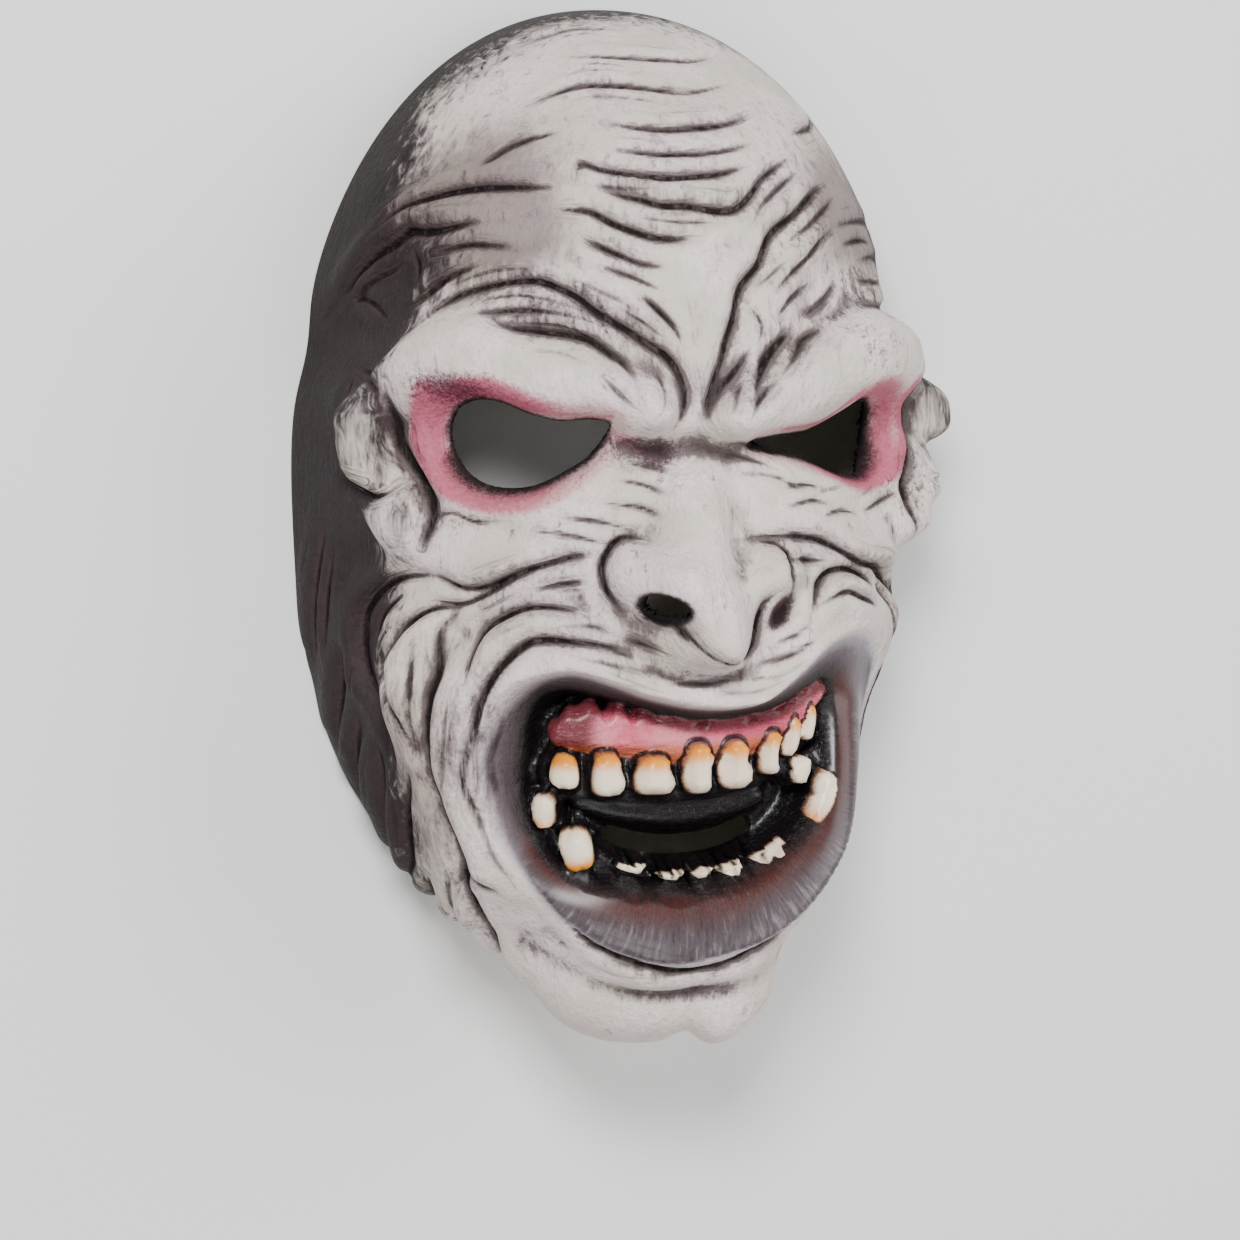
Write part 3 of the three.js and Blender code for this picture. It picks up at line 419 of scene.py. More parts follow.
class Carrier:
    """Carries readings made on the plain dome onto the raised face, along the line of sight."""

    rounds = 16
    step = 0.5
    edge_on = (0.12, 0.42)
    furthest = 7.0

    def __init__(self, dome: Dome, sight: Sight) -> None:
        """Takes the dome that the readings were made on and the sight they were made from."""
        self.dome, self.sight = dome, sight

    def carry(self, points: Sequence[Sequence[float]], raised: Any) -> list[tuple[float, ...]]:
        """Solves for the places that show where the readings were made.

        Each round is one damped Newton step: the miss in the picture times the inverse of the
        picture's change with u and v. Readings seen nearly edge on keep less of the move.

        Args:
            points: Readings (u, v) with any further columns, which are kept.
            raised: Function of arrays u and v that gives the points of the raised face.

        Returns:
            The points with u and v moved.
        """
        rows = np.array([tuple(p) for p in points], float)
        u, v = rows[:, 0].copy(), rows[:, 1].copy()
        target = self.sight.seen(self.dome.at(u, v))
        for _ in range(self.rounds):
            here = self.sight.seen(raised(u, v))
            du = (self.sight.seen(raised(u + self.step, v)) - here) / self.step
            dv = (self.sight.seen(raised(u, v + self.step)) - here) / self.step
            miss = target - here
            size = du[:, 0] * dv[:, 1] - dv[:, 0] * du[:, 1]
            size = np.where(np.abs(size) < 0.2, 0.2, size)
            move_u = (miss[:, 0] * dv[:, 1] - miss[:, 1] * dv[:, 0]) / size
            move_v = (du[:, 0] * miss[:, 1] - du[:, 1] * miss[:, 0]) / size
            damp = 0.6 * np.minimum(1.0, 1.5 / np.maximum(np.hypot(move_u, move_v), 1e-9))
            u, v = u + damp * move_u, v + damp * move_v
        to_eye = unit(self.sight.eye() - self.dome.at(rows[:, 0], rows[:, 1]))
        facing = (self.dome.normal(rows[:, 0], rows[:, 1]) * to_eye).sum(-1)
        move_u, move_v = u - rows[:, 0], v - rows[:, 1]
        moved = np.maximum(np.hypot(move_u, move_v), 1e-9)
        keep = smooth(*self.edge_on, facing) * np.minimum(1.0, self.furthest / moved)
        rows[:, 0] += keep * move_u
        rows[:, 1] += keep * move_v
        return [tuple(row) for row in rows.tolist()]

    def at_height(self, points: Sequence[Sequence[float]], heights: Any) -> list[tuple[float, ...]]:
        """Carries readings to places that stand at given heights over the dome."""
        rise = np.broadcast_to(np.asarray(heights, float), (len(points),))
        return self.carry(points, lambda u, v: self.dome.at(u, v) + rise[:, None] * self.dome.normal(u, v))


class Mouth:
    """The open mouth: a crest all round, a slope inwards, gum, teeth, tongue and dark lining."""

    crest = 2.6
    edge = -6.0
    floor = -15.0
    bed_level = -9.5
    gum_level = -6.6
    wall = 3.0
    slit_half = 2.6

    def __init__(self, carrier: Carrier, crested: Any) -> None:
        """Places the mouth's outlines and teeth on the face, in mm.

        Args:
            carrier: Carries readings along the line of sight.
            crested: Function of u and v that gives points of the face raised by the crest.
        """
        self.ring = Path(carrier.carry([
            (-8, -118.5), (-15, -116.5), (-22, -113), (-29, -108), (-37, -101), (-44, -93), (-48, -85),
            (-49.5, -75), (-48, -65), (-43.5, -57), (-37, -52), (-30, -50), (-24, -51), (-17, -53.5),
            (-9, -56.5), (0, -58.5), (9, -58.8), (16, -57.5), (23, -52.3), (30, -47.4), (35, -45.6),
            (40, -45.2), (46, -45.8), (52, -48.5), (56, -54),
        ], crested) + [
            (56.5, -60), (54, -67), (50, -74), (45.5, -81), (40.5, -87.5), (35, -93.5), (29, -99.5),
            (23, -104.3), (15.8, -108.8), (8, -111.8), (0, -113.3),
        ], closed=True)
        self.cavity = Path(carrier.at_height([
            (-6, -98), (-18, -97), (-28, -94), (-35, -88), (-39.5, -79), (-40, -70), (-39, -61),
            (-36, -55.5), (-30, -53.5), (-22, -55), (-15, -57), (-8, -59), (0, -60.5), (10, -60),
            (19, -58), (26, -54), (31, -53), (34, -56),
        ], self.edge) + [
            (41, -64), (39, -72), (36.5, -79), (32.5, -84.5), (27.5, -89), (21.5, -92.8), (14, -96.5),
            (6, -99.2),
        ], closed=True)
        self.lower_lip = Path(carrier.at_height([
            (-42, -86, 5, 1), (-38.5, -92.5, 6, 2.5), (-32, -98.5, 7, 4.5), (-20, -104, 7.5, 6.5),
            (-6, -107, 8, 7), (7, -106, 8, 7),
        ], 5.0) + [
            (15, -102, 7.5, 6.5), (21.5, -99, 7, 6), (27, -95, 6.5, 5.5), (32, -90.5, 6, 5),
            (36.5, -85, 5.5, 4), (40.5, -78.5, 5, 3), (44, -71.5, 5, 2), (46.5, -64, 4.5, 1),
        ])
        self.gum = Path(carrier.at_height([
            (-32, -63.5, 4.2), (-27, -62.5, 6), (-16, -63, 6.8), (-4, -65, 6.8), (8, -64.5, 6.8),
            (17, -61.5, 6.4), (24, -58, 6), (30, -55, 5),
        ], self.gum_level))
        self.bed = Path(carrier.at_height([
            (-33, -73, 7), (-20, -73.5, 7), (-9, -74, 7), (2, -73, 7), (11, -71.5, 7), (19, -68, 6),
            (27, -64, 5),
        ], self.bed_level))
        self.lower_bed = Path(carrier.at_height([
            (-36, -80, 5), (-30, -88, 7), (-18, -95.5, 5), (-4, -97.5, 4.5), (10, -95.5, 4.5), (22, -90, 5),
            (31, -81, 6), (31, -72, 4),
        ], self.bed_level))
        self.tongue = Path([(-27, -81, 3), (-12, -83, 3.5), (3, -83.5, 3.5), (18, -80.5, 3)])
        self.slit = Path([(-17, -89.3), (-9, -91), (0, -91.5), (9, -90.6), (17, -88.2)])
        self.teeth = [self.placed(carrier, tooth) for tooth in (
            Tooth((-30.5, -72.3), (4.1, 4.2), 0, -4.5, 1.5), Tooth((-20.3, -73), (4.0, 5.0), 2, -4.0, 1.0),
            Tooth((-9.3, -73.5), (4.5, 4.5), 0, -3.5, 1.0), Tooth((1, -72.3), (3.45, 5.7), 2, -3.5, 1.0),
            Tooth((9.5, -71.8), (3.5, 5.5), 3, -3.5, 1.0), Tooth((17.7, -69.5), (2.6, 4.9), -8, -4.5, 1.0),
            Tooth((22.4, -66), (1.8, 4.6), -14, -5.5, 1.1), Tooth((26.6, -63), (1.7, 4.2), -14, -6.0, 1.1),
            Tooth((24.8, -73.5), (2.6, 3.3), -10, -5.0, 0.2, upper=False),
            Tooth((-35.0, -81.8), (2.9, 4.3), 0, -4.0, 0.7, upper=False),
            Tooth((-27.3, -90.4), (4.3, 5.3), 14, -3.0, 1.0, upper=False),
            Tooth((31.0, -80.6), (1.9, 6.8), -28, -4.0, 0.8, upper=False, bend=(0.6, 0.0), tucked=True),
        )] + [
            Tooth((-13.6, -96.0), (3.9, 1.15), 2, -6.6, 0.3, upper=False, bend=(0.0, -0.9)),
            Tooth((-4.0, -97.7), (3.6, 0.95), 2, -6.6, 0.2, upper=False, bend=(0.0, -0.8)),
            Tooth((3.7, -97.3), (2.6, 0.95), 22, -6.6, 0.2, upper=False, bend=(0.0, -0.7)),
            Tooth((10.3, -96.2), (3.5, 0.9), 14, -6.6, 0.2, upper=False, bend=(0.0, -0.7)),
            Tooth((19.9, -93.0), (4.6, 0.8), 27, -6.2, 0.2, upper=False, bend=(0.0, -0.6)),
        ]

    @staticmethod
    def placed(carrier: Carrier, tooth: Tooth) -> Tooth:
        """The tooth carried to where it shows at its own level."""
        return replace(tooth, at=carrier.at_height([tooth.at], tooth.level + 1.0)[0])

    def shape(self, u: Array, v: Array, skin: Array) -> tuple[Array, dict[str, Array]]:
        """Carves the mouth into the skin.

        The level runs from the raised skin at the ring to the edge at the cavity, by the share of
        the way to the power 0.8, and falls to the floor within the wall's width. Gum, beds, tongue
        and teeth are each the larger of the level and their own.

        Args:
            u: Places' first coordinates.
            v: Places' second coordinates.
            skin: Height of the face there without its mouth.

        Returns:
            The new height, and the paint masks of the mouth by name.
        """
        ring = self.ring.depth(u, v, 32.0)
        cavity = self.cavity.depth(u, v, 32.0)
        crested = skin + self.crest * np.exp(-(np.minimum(ring, 0.0) / 4.0) ** 2)
        share = np.clip(ring / np.maximum(ring + np.maximum(-cavity, 0.0), 1e-6), 0.0, 1.0)
        outside = 1 - smooth(0, self.wall, cavity)
        lip = Roll(self.lower_lip, 3.0).rise(u, v) * outside * smooth(-1.0, 2.0, ring)
        level = np.where(ring > 0, mix(crested, self.edge, share ** 0.8) + lip, crested)
        level = mix(level, self.floor, smooth(0, self.wall, cavity))
        inside = smooth(0.0, 1.5, cavity)
        notches = sum(2.2 * np.exp(-((u - at) / 1.4) ** 2) for at in (-19, -13, -8, 3))
        notches = 0.5 * np.sin(0.9 * u + 0.6) + notches
        shapes = {}
        for name, path, top, power in (("bed", self.bed, self.bed_level, 6),
                                       ("low", self.lower_bed, self.bed_level, 6),
                                       ("gum", self.gum, self.gum_level, 5),
                                       ("tongue", self.tongue, self.floor + 4.5, 3)):
            near = path.nearest(u, v, 24.0)
            notch = notches * (near.side > 0) if name == "gum" else 0.0
            shapes[name] = np.exp(-(np.maximum(near.distance + notch, 0.0) / near.width) ** power) * inside
            level = np.maximum(level, mix(self.floor, top, shapes[name]))
        tooth, stain, around = np.full(u.shape, -1.0), np.zeros(u.shape), np.full(u.shape, 3.0)
        for one in self.teeth:
            x, y, q = one.local(u, v)
            rise = 1.0 - smooth(0.82, 1.16, q)
            crown = one.level + 1.0 - 1.0 * x * x - 0.5 * y * y
            crown = mix(self.bed_level, crown, rise) * (q < 1.16) + self.floor * (q >= 1.16)
            shown = np.maximum(0.2 * (crown - level) + 0.3, -0.3) if one.tucked else 1.0
            tooth = np.maximum(tooth, np.minimum(1.0 - q, shown))
            level = np.maximum(level, crown)
            root = smooth(-0.25, 0.95, (y if one.upper else -y) + 0.25 * (one.stain - 1.0))
            stain = np.where(q < 1.1, np.maximum(stain, root * min(one.stain, 1.0)), stain)
            around = np.minimum(around, q)
        masks = {
            "ring": ring, "cavity": cavity, "share": share, "tooth": tooth, "stain": stain,
            "around": around, "gum": shapes["gum"],
            "flow": self.lower_lip.nearest(u, v, 32.0).along * self.lower_lip.length,
        }
        return level, masks


class Face:
    """The whole carving: every form in its place on the dome, with its paint."""

    apart = 37.0
    channels = 3
    nostril_at = (-12.0, -36.0)
    nostril_half = (3.6, 2.5)
    nostril_turn = -14.0

    def __init__(self, dome: Dome, sight: Sight) -> None:
        """Lists the forms, in mm, as read on the plain dome, and carries each to its place."""
        self.dome = dome
        self.carrier = Carrier(dome, sight)
        self.swellings = self.plain_swellings()
        self.rolls = [Roll(Path(self.carrier.at_height(points, [p[3] for p in points])), power)
                      for power, points in self.roll_readings()]
        self.overhangs = [
            Swelling((-40, 8), (40, 8), 2.5), Swelling((40, 8), (40, 8), 2.5),
            Swelling((4, -42), (12, 7), 4.5),
        ]
        self.mouth = Mouth(self.carrier, lambda u, v: self.raised(u, v, self.rise(u, v) + Mouth.crest))
        lines = (self.forehead() + self.left_brow() + self.right_brow() + self.temples()
                 + self.left_cheek() + self.right_cheek() + self.eye_lines() + self.nose_lines())
        places = iter(self.carried([point for line in lines for point in line.points]))
        self.creases = [
            Crease(Path([next(places) for _ in line.points]), line.depth, line.width, line.puff, line.side,
                   line.ink)
            for line in lines
        ]
        self.creases += self.companions(self.creases)
        self.channel = self.channels_of(self.creases)
        self.left_eye = Path(self.carried([
            (-57, 5), (-55, 9), (-50, 10.5), (-44, 9), (-38, 6), (-31, 4), (-25, 4.2), (-20, 3.2),
            (-21.5, 0), (-25, -4), (-31, -7.5), (-37, -10), (-43, -10.5), (-49, -9.3), (-53.5, -5.5),
            (-56.5, 0),
        ]), closed=True)
        self.right_eye = Path(self.carried([
            (12.5, -1.6), (19, -0.4), (27, 0.3), (33, 2.6), (40, 6), (46, 8.3), (52, 9.5), (57, 8),
            (59, 3.5), (58, -1.5), (54, -6), (49, -8.5), (43, -9), (36, -8), (29, -5.8), (20, -3.6),
        ]), closed=True)

    @staticmethod
    def companions(creases: Sequence[Crease]) -> list[Crease]:
        """Finer lines beside the deeper creases, each along a part of one and a few widths aside."""
        dice = np.random.default_rng(SEED)
        made = []
        for one in creases:
            places = one.path.samples[:, :2]
            for side in (-1, 1):
                start, length, gap, sway = dice.uniform((0.05, 0.25, 0.0, 2.0), (0.5, 0.5, 1.2, 6.0))
                part = places[int(start * len(places)):int((start + length) * len(places)) + 1:3]
                if one.width < 0.85 or len(part) < 3:
                    continue
                along = unit(np.gradient(part, axis=0))
                aside = np.stack([-along[:, 1], along[:, 0]], axis=-1)
                wave = 0.35 * np.sin(np.linspace(0.0, sway, len(part)))
                shift = side * (2.2 * one.width + 1.0 + gap) + wave
                places_aside = part + shift[:, None] * aside
                nearest = min(other.path.nearest(*places_aside.T).distance.min() for other in creases)
                if nearest > 2.0:
                    made.append(Crease(Path(places_aside.tolist()), 0.55, 0.5, 0.6, 0, 0.6))
        return made

    @classmethod
    def channels_of(cls, creases: Sequence[Crease]) -> list[int]:
        """A paint channel for each crease: the one whose creases so far lie furthest from it."""
        chosen: list[int] = []
        places = [one.path.samples[::2, :2] for one in creases]
        for here in places:
            room = np.full(cls.channels, np.inf)
            for other, channel in zip(places, chosen):
                gap = np.linalg.norm(here[:, None] - other[None], axis=-1).min()
                room[channel] = min(room[channel], gap)
            chosen.append(int(np.argmax(room)))
        return chosen

    @staticmethod
    def plain_swellings() -> list[Swelling]:
        """The rounded swellings and hollows, in their places on the face."""
        pairs = [
            Swelling((-86, 34), (17, 14), -4.0),
            Swelling((-38, -1), (24, 12), -6.5, power=3),
            Swelling((-68, -17), (8.0, 9.5), 8.0, turn=20, power=3),
            Swelling((-50, -26), (19, 8), 4.5, turn=-8),
        ]
        return pairs + [one.other_side() for one in pairs] + [
            Swelling((-76, 4), (8.5, 12.5), 9.0, turn=8, power=3.2),
            Swelling((79.5, 9), (6.5, 8.5), 12.0, turn=-6, power=3),
            Swelling((72.5, -5), (5.5, 8), 7.0, turn=-4, power=3),
            Swelling((-64, -62), (12, 22), 3.5),
            Swelling((64, -50), (9, 10), 2.5),
            Swelling((66, -86), (26, 36), -9.0, power=2.6),
            Swelling((-2, -3), (13, 5), -4.0),
            Swelling((-9.5, 6), (6, 6.5), 4.5),
            Swelling((6.5, 5), (6, 6), 4.5),
            Swelling((-13, -30), (8.0, 7.5), 8.5, power=2.8),
            Swelling((14.5, -31), (7, 8), 8.0, power=2.8),
            Swelling((-6, -55), (44, 11), 3.0),
            Swelling((-9, -133), (23, 17), 12.5, power=3.0),
            Swelling((16, -129), (12, 13), 9.0, power=2.8),
            Swelling((4.5, -138), (3.0, 9), -4.5, turn=12),
            Swelling((17.5, -37.5), (3.4, 3.6), -4.5, power=3),
            Swelling((0, -121), (32, 3.5), -3.0),
        ]

    @staticmethod
    def roll_readings() -> list[tuple[float, list[tuple[float, ...]]]]:
        """Rolls of flesh as read: power, then points with width and height."""
        return [
            (3.2, [(-80, 14, 5, 3), (-74, 19, 7, 6), (-66, 22, 9, 9), (-55, 22, 9.5, 10), (-45, 17, 8, 8.5),
                   (-34, 12.5, 7.5, 8.5), (-22, 10.5, 7, 8.5), (-12, 7.5, 6, 7)]),
            (3.2, [(74, 18, 6, 5), (64, 21, 8, 8), (52, 20, 9, 9.5), (42, 17, 8.5, 8.5), (31, 11, 7.5, 8.5),
                   (20, 7.5, 7, 8.5), (10, 5, 6, 7)]),
            (2.8, [(0, 0, 6, 1), (0, -12, 7, 6), (1, -24, 8.5, 11), (3, -34, 10, 17), (5.5, -41, 9.5, 19)]),
            (2.6, [(-60, 13, 3.5, 1.5), (-63, 3, 3.6, 3), (-59, -8, 3.6, 3.4), (-48, -14.5, 3.6, 3.2),
                   (-34, -13, 3.6, 2.5), (-24, -7, 3, 1)]),
            (2.6, [(60, 14, 3.5, 1.5), (66, 3, 3.6, 3), (61, -7, 3.6, 3.2), (48, -11.5, 3.6, 2.8),
                   (34, -9.5, 3.4, 2), (24, -5, 3, 1)]),
            (2.6, [(-22, -41, 4, 1), (-36, -40.5, 4.5, 3), (-46, -48, 5, 4), (-54, -62, 5, 4),
                   (-55, -80, 5, 4), (-47, -97, 5, 3), (-38, -112, 5, 2)]),
            (2.6, [(-62, -46, 5, 2), (-67, -56, 6, 4), (-67, -72, 6, 4), (-63, -88, 6, 3),
                   (-58, -104, 6, 3), (-52, -122, 6, 2)]),
            (2.6, [(20, -41, 4, 1), (34, -38, 4.5, 3), (48, -39.5, 5, 3.5), (57, -45, 4.5, 3),
                   (60, -55, 4, 2), (58, -66, 4, 1)]),
            (2.6, [(66, -46, 5, 2), (72, -58, 6, 3), (70, -76, 6, 3), (64, -96, 6, 3), (56, -116, 6, 2)]),
        ]

    @staticmethod
    def forehead() -> list[Line]:
        """Lines across the forehead. Those above the readings are in keeping with the rest."""
        return [
            Line(((-24, 58), (-22.6, 62), (-19, 60), (-13, 58), (-6, 57), (0, 57), (8, 58), (15, 59.5)),
                 1.9, 1.0, 1),
            Line(((-18, 54), (-10, 52), (-6, 50.6), (0, 50.4), (6, 49.4), (11, 49.8), (15, 52.7), (19, 57),
                  (24, 60.5), (28, 63)), 2.2, 1.2, 1),
            Line(((-28, 51), (-22, 50), (-17.6, 47), (-13.4, 45), (-9, 43.5), (-5, 43), (1, 43.5)), 1.9,
                 1.0, 1),
            Line(((-24, 44), (-21, 42), (-16.7, 39.7), (-12.5, 37.6), (-8, 37)), 1.5, 0.9, 1),
            Line(((-14, 64), (-4, 62.5), (8, 63), (18, 66)), 1.1, 0.8, 1),
            Line(((-21, 56), (-14, 54.6), (-8, 54)), 0.8, 0.7, 1),
            Line(((-12, 47.5), (-4, 46.5), (6, 46.5)), 0.8, 0.7),
            Line(((-20, 37), (-14, 34.5), (-9, 32)), 0.9, 0.7),
            Line(((14, 46), (17, 50), (23, 55), (30, 60)), 1.0, 0.8),
            Line(((-16, 72), (-4, 69.5), (12, 71), (22, 75.5)), 1.4, 1.0, 1, ink=0.8),
            Line(((-34, 80), (-20, 84), (-8, 82.5), (6, 80.5), (18, 84)), 1.2, 1.0, 1, ink=0.7),
            Line(((-20, 96), (-6, 93), (10, 92), (20, 96)), 1.0, 1.0, 1, ink=0.6),
            Line(((-30, 106), (-14, 109), (-2, 107)), 0.8, 1.0, 1, ink=0.5),
            Line(((-44, 66), (-36, 70), (-26, 71)), 1.1, 0.9, 1),
            Line(((34, 72), (44, 78), (52, 86)), 1.2, 0.9, 1),
        ]

    @staticmethod
    def left_brow() -> list[Line]:
        """Frown lines over the brow at the picture's left."""
        return [
            Line(((-57, 33), (-51, 35), (-40, 35.5), (-34, 35), (-30, 33), (-26, 30.5), (-22, 27),
                  (-16.7, 23.7), (-12, 20.5), (-8, 18), (-5.4, 15), (-3.6, 10), (-4, 5.7), (-6, 2)), 2.6,
                  1.15, 1),
            Line(((-49, 30), (-37, 28.6), (-27, 26.3), (-22, 24.6)), 1.5, 0.9, 1),
            Line(((-45, 28.4), (-40, 25), (-29, 22.5), (-24, 21), (-20, 18), (-17, 15.6), (-15, 13),
                  (-13.8, 10)), 1.8, 1.0),
            Line(((-12, 30), (-9, 27), (-6, 23.7), (-4.5, 20.4)), 1.4, 0.9),
            Line(((-22, 13.6), (-17.6, 9), (-14, 5.7)), 1.4, 0.9),
            Line(((-46, 32.4), (-38, 32), (-30, 29.6), (-24, 27)), 1.0, 0.7),
            Line(((-38, 25.8), (-30, 24.4), (-22, 20.6)), 0.9, 0.7),
            Line(((-18, 28), (-13, 24.6), (-9, 21.4)), 1.0, 0.8),
            Line(((-52, 37.5), (-44, 38.4), (-36, 37.8)), 1.1, 0.8),
            Line(((-10, 14), (-8, 9.5), (-9, 5)), 0.9, 0.7),
            Line(((-26, 34), (-20, 30.6), (-15, 28)), 1.0, 0.8),
        ]

    @staticmethod
    def right_brow() -> list[Line]:
        """Frown lines over the brow at the picture's right."""
        return [
            Line(((39.5, 58.6), (34.5, 55.7), (30, 52), (27, 49.4), (20, 45), (17, 41), (15, 37),
                  (11.8, 34), (9.7, 31), (8, 25), (6.3, 21), (4.6, 16), (2.5, 11.6), (1.3, 7.4), (1.7, 4),
                  (3.4, 1.9)), 2.6, 1.15, -1),
            Line(((19, 31.7), (23.5, 35.5), (28.6, 39.3), (33, 43.5), (38, 47)), 1.2, 0.7),
            Line(((14, 32), (18, 35), (22, 38)), 0.9, 0.6),
            Line(((19, 26), (22.7, 30), (27, 33)), 0.9, 0.6),
            Line(((21, 22), (16, 17.4), (13.4, 12.4), (12.2, 8.2)), 2.2, 1.3),
            Line(((17.6, 12), (13, 6.5), (12, 3.5)), 1.5, 1.0),
            Line(((11, 18.7), (7.6, 14), (4.2, 10), (2.6, 6.5)), 1.5, 0.9),
            Line(((30, 23), (25, 20.4), (22, 16.6), (18.5, 13)), 1.3, 0.9),
            Line(((24, 43), (30, 46.6), (37, 52), (42, 56)), 1.1, 0.8),
            Line(((12, 28), (14.5, 24), (13, 20)), 0.8, 0.7),
            Line(((26, 26), (32, 30), (36, 34)), 0.9, 0.7),
            Line(((9, 12), (7.5, 8.6), (7, 5)), 0.9, 0.7),
        ]

    @staticmethod
    def temples() -> list[Line]:
        """Folded skin at the temples."""
        return [
            Line(((-84, 45.6), (-79, 49), (-72, 53), (-66, 54.4), (-62.5, 56), (-59.6, 54.4), (-55, 53),
                  (-47, 52)), 3.2, 1.6, 1),
            Line(((-72, 59), (-64.6, 61.6), (-58, 62), (-51, 61.6), (-44.5, 60.5), (-38.6, 59),
                  (-30, 56.8)), 2.2, 1.2, 1),
            Line(((-61.7, 51), (-60.4, 45), (-61.3, 40)), 1.4, 1.0),
            Line(((-63, 36), (-59.6, 37), (-53, 39.7), (-45, 40.5)), 1.7, 1.1, 1),
            Line(((-80, 42), (-72, 46), (-64, 47)), 1.6, 1.2, 1),
            Line(((-56, 47), (-48, 46.4), (-40, 44)), 1.3, 0.9, 1),
            Line(((-70, 34), (-74, 40), (-80, 44)), 1.5, 1.3),
            Line(((40, 48), (50, 52), (62, 57), (74, 62)), 1.0, 1.0, 1, 0.4),
            Line(((47, 41), (54, 44), (66, 48), (76, 51)), 0.9, 0.9, 1, 0.4),
            Line(((45, 30), (58, 32), (70, 36), (80, 39)), 1.0, 1.0, 1, 0.4),
            Line(((46, 36), (56, 38), (66, 41)), 0.9, 0.8),
            Line(((42, 44), (50, 47), (58, 49)), 1.2, 0.9),
        ]

    @staticmethod
    def left_cheek() -> list[Line]:
        """The long folds of the cheek at the picture's left."""
        return [
            Line(((-60, -31.6), (-53, -34), (-47, -33), (-40, -29.5), (-34, -27.4), (-28.5, -25.7),
                  (-24, -25)), 2.4, 1.2, 1),
            Line(((-60, -38), (-53, -38), (-48, -35.4), (-43, -32), (-38, -29.5)), 1.4, 0.9),
            Line(((-63, -31.6), (-70, -33), (-75, -36), (-79, -40), (-82, -46), (-82, -57), (-80, -63.5),
                  (-76, -71), (-73, -78), (-70, -86)), 3.2, 1.5, -1),
            Line(((-54.5, -39), (-60, -40), (-64.6, -42.5), (-69, -46.7), (-72, -52), (-74, -57),
                  (-74, -62), (-72, -66), (-68, -71), (-64, -77)), 2.8, 1.3),
            Line(((-55, -41), (-58, -44), (-59.6, -49), (-59, -57), (-60.4, -62), (-59.6, -78.6),
                  (-56, -88), (-52, -96), (-50, -101), (-49.5, -109), (-46, -118), (-43, -124),
                  (-39.4, -134), (-37.7, -143), (-38, -156)), 3.2, 1.4),
            Line(((-50, -100), (-47, -103), (-43, -105)), 1.8, 1.1),
            Line(((-26, -38), (-32, -37), (-38, -37.5), (-43, -40), (-47, -43), (-49.5, -47), (-51, -56)),
                 2.2, 1.1, 1),
            Line(((-17, -47), (-22.6, -44.6), (-34, -43.8), (-38.6, -45.5), (-42, -49), (-44.5, -53),
                  (-47, -60), (-49, -72), (-49.5, -78), (-47, -84.5), (-43, -94), (-38.6, -100)), 2.4, 1.1),
            Line(((-88, -58), (-90, -81), (-91.5, -97.5)), 2.2, 1.7),
            Line(((-82, -78), (-83, -93), (-85, -114)), 2.0, 1.5),
            Line(((-76, -82), (-74, -93), (-73.4, -110), (-72, -127), (-72, -140)), 2.4, 1.5),
            Line(((-60.4, -118), (-58, -138), (-57.5, -151)), 2.0, 1.5),
            Line(((-66, -84), (-66, -100), (-65, -120), (-66, -138)), 2.2, 1.4),
            Line(((-54, -106), (-52, -122), (-50, -140)), 1.6, 1.2),
            Line(((-96, -20), (-99, -44), (-100, -66)), 1.6, 1.6),
            Line(((-92, -26), (-94, -44), (-95, -62)), 1.4, 1.3),
            Line(((-65, -49), (-66, -58), (-65, -68), (-63, -78)), 1.4, 1.0),
            Line(((-55, -60), (-54, -74), (-54, -84)), 1.2, 0.9),
            Line(((-44, -62), (-46, -72), (-45, -82)), 1.0, 0.8),
            Line(((-70, -38), (-75, -44), (-77, -52)), 1.4, 1.0),
            Line(((-36, -33), (-30, -31.6), (-26, -31)), 1.1, 0.8, 1),
            Line(((-30, -41), (-25, -40.6), (-20, -42)), 1.0, 0.8),
        ]

    @staticmethod
    def right_cheek() -> list[Line]:
        """The folds of the cheek at the picture's right, and their like on its hidden side."""
        return [
            Line(((12, -22), (19, -22), (28.6, -23), (34.5, -25), (40, -27.4), (47, -30), (54, -31.6),
                  (60.5, -35), (67, -39), (72, -44), (78, -50)), 2.4, 1.2, 1),
            Line(((27, -39), (29.4, -33), (33, -30.7), (40, -30.7), (47, -33), (52, -36.6)), 2.2, 1.1),
            Line(((29.4, -38), (33.6, -36.6), (40, -36), (45.4, -38), (52, -41)), 1.5, 0.9),
            Line(((20, -27), (26, -27.6), (32, -28)), 1.0, 0.8),
            Line(((56, -36), (62, -42), (66, -50)), 1.8, 1.1),
            Line(((70, -44), (80, -52), (83, -64), (78, -80), (70, -98)), 3.2, 1.6, 1),
            Line(((62, -46), (69, -58), (70, -74), (64, -94), (56, -114)), 2.8, 1.5),
            Line(((88, -56), (91, -72), (88, -96)), 2.2, 1.8),
            Line(((60, -118), (50, -134), (44, -152)), 2.4, 1.6),
            Line(((76, -86), (72, -106), (66, -126)), 2.0, 1.6),
            Line(((-27, -105.5), (-22.6, -110), (-17.6, -113), (-12.5, -115), (-8, -117), (0, -119),
                  (8, -117.4), (15, -113.4), (20, -111), (28, -103)), 2.4, 1.1),
            Line(((-22, -120), (-14, -121.5), (-7, -121)), 0.7, 0.8, ink=0.45),
        ]

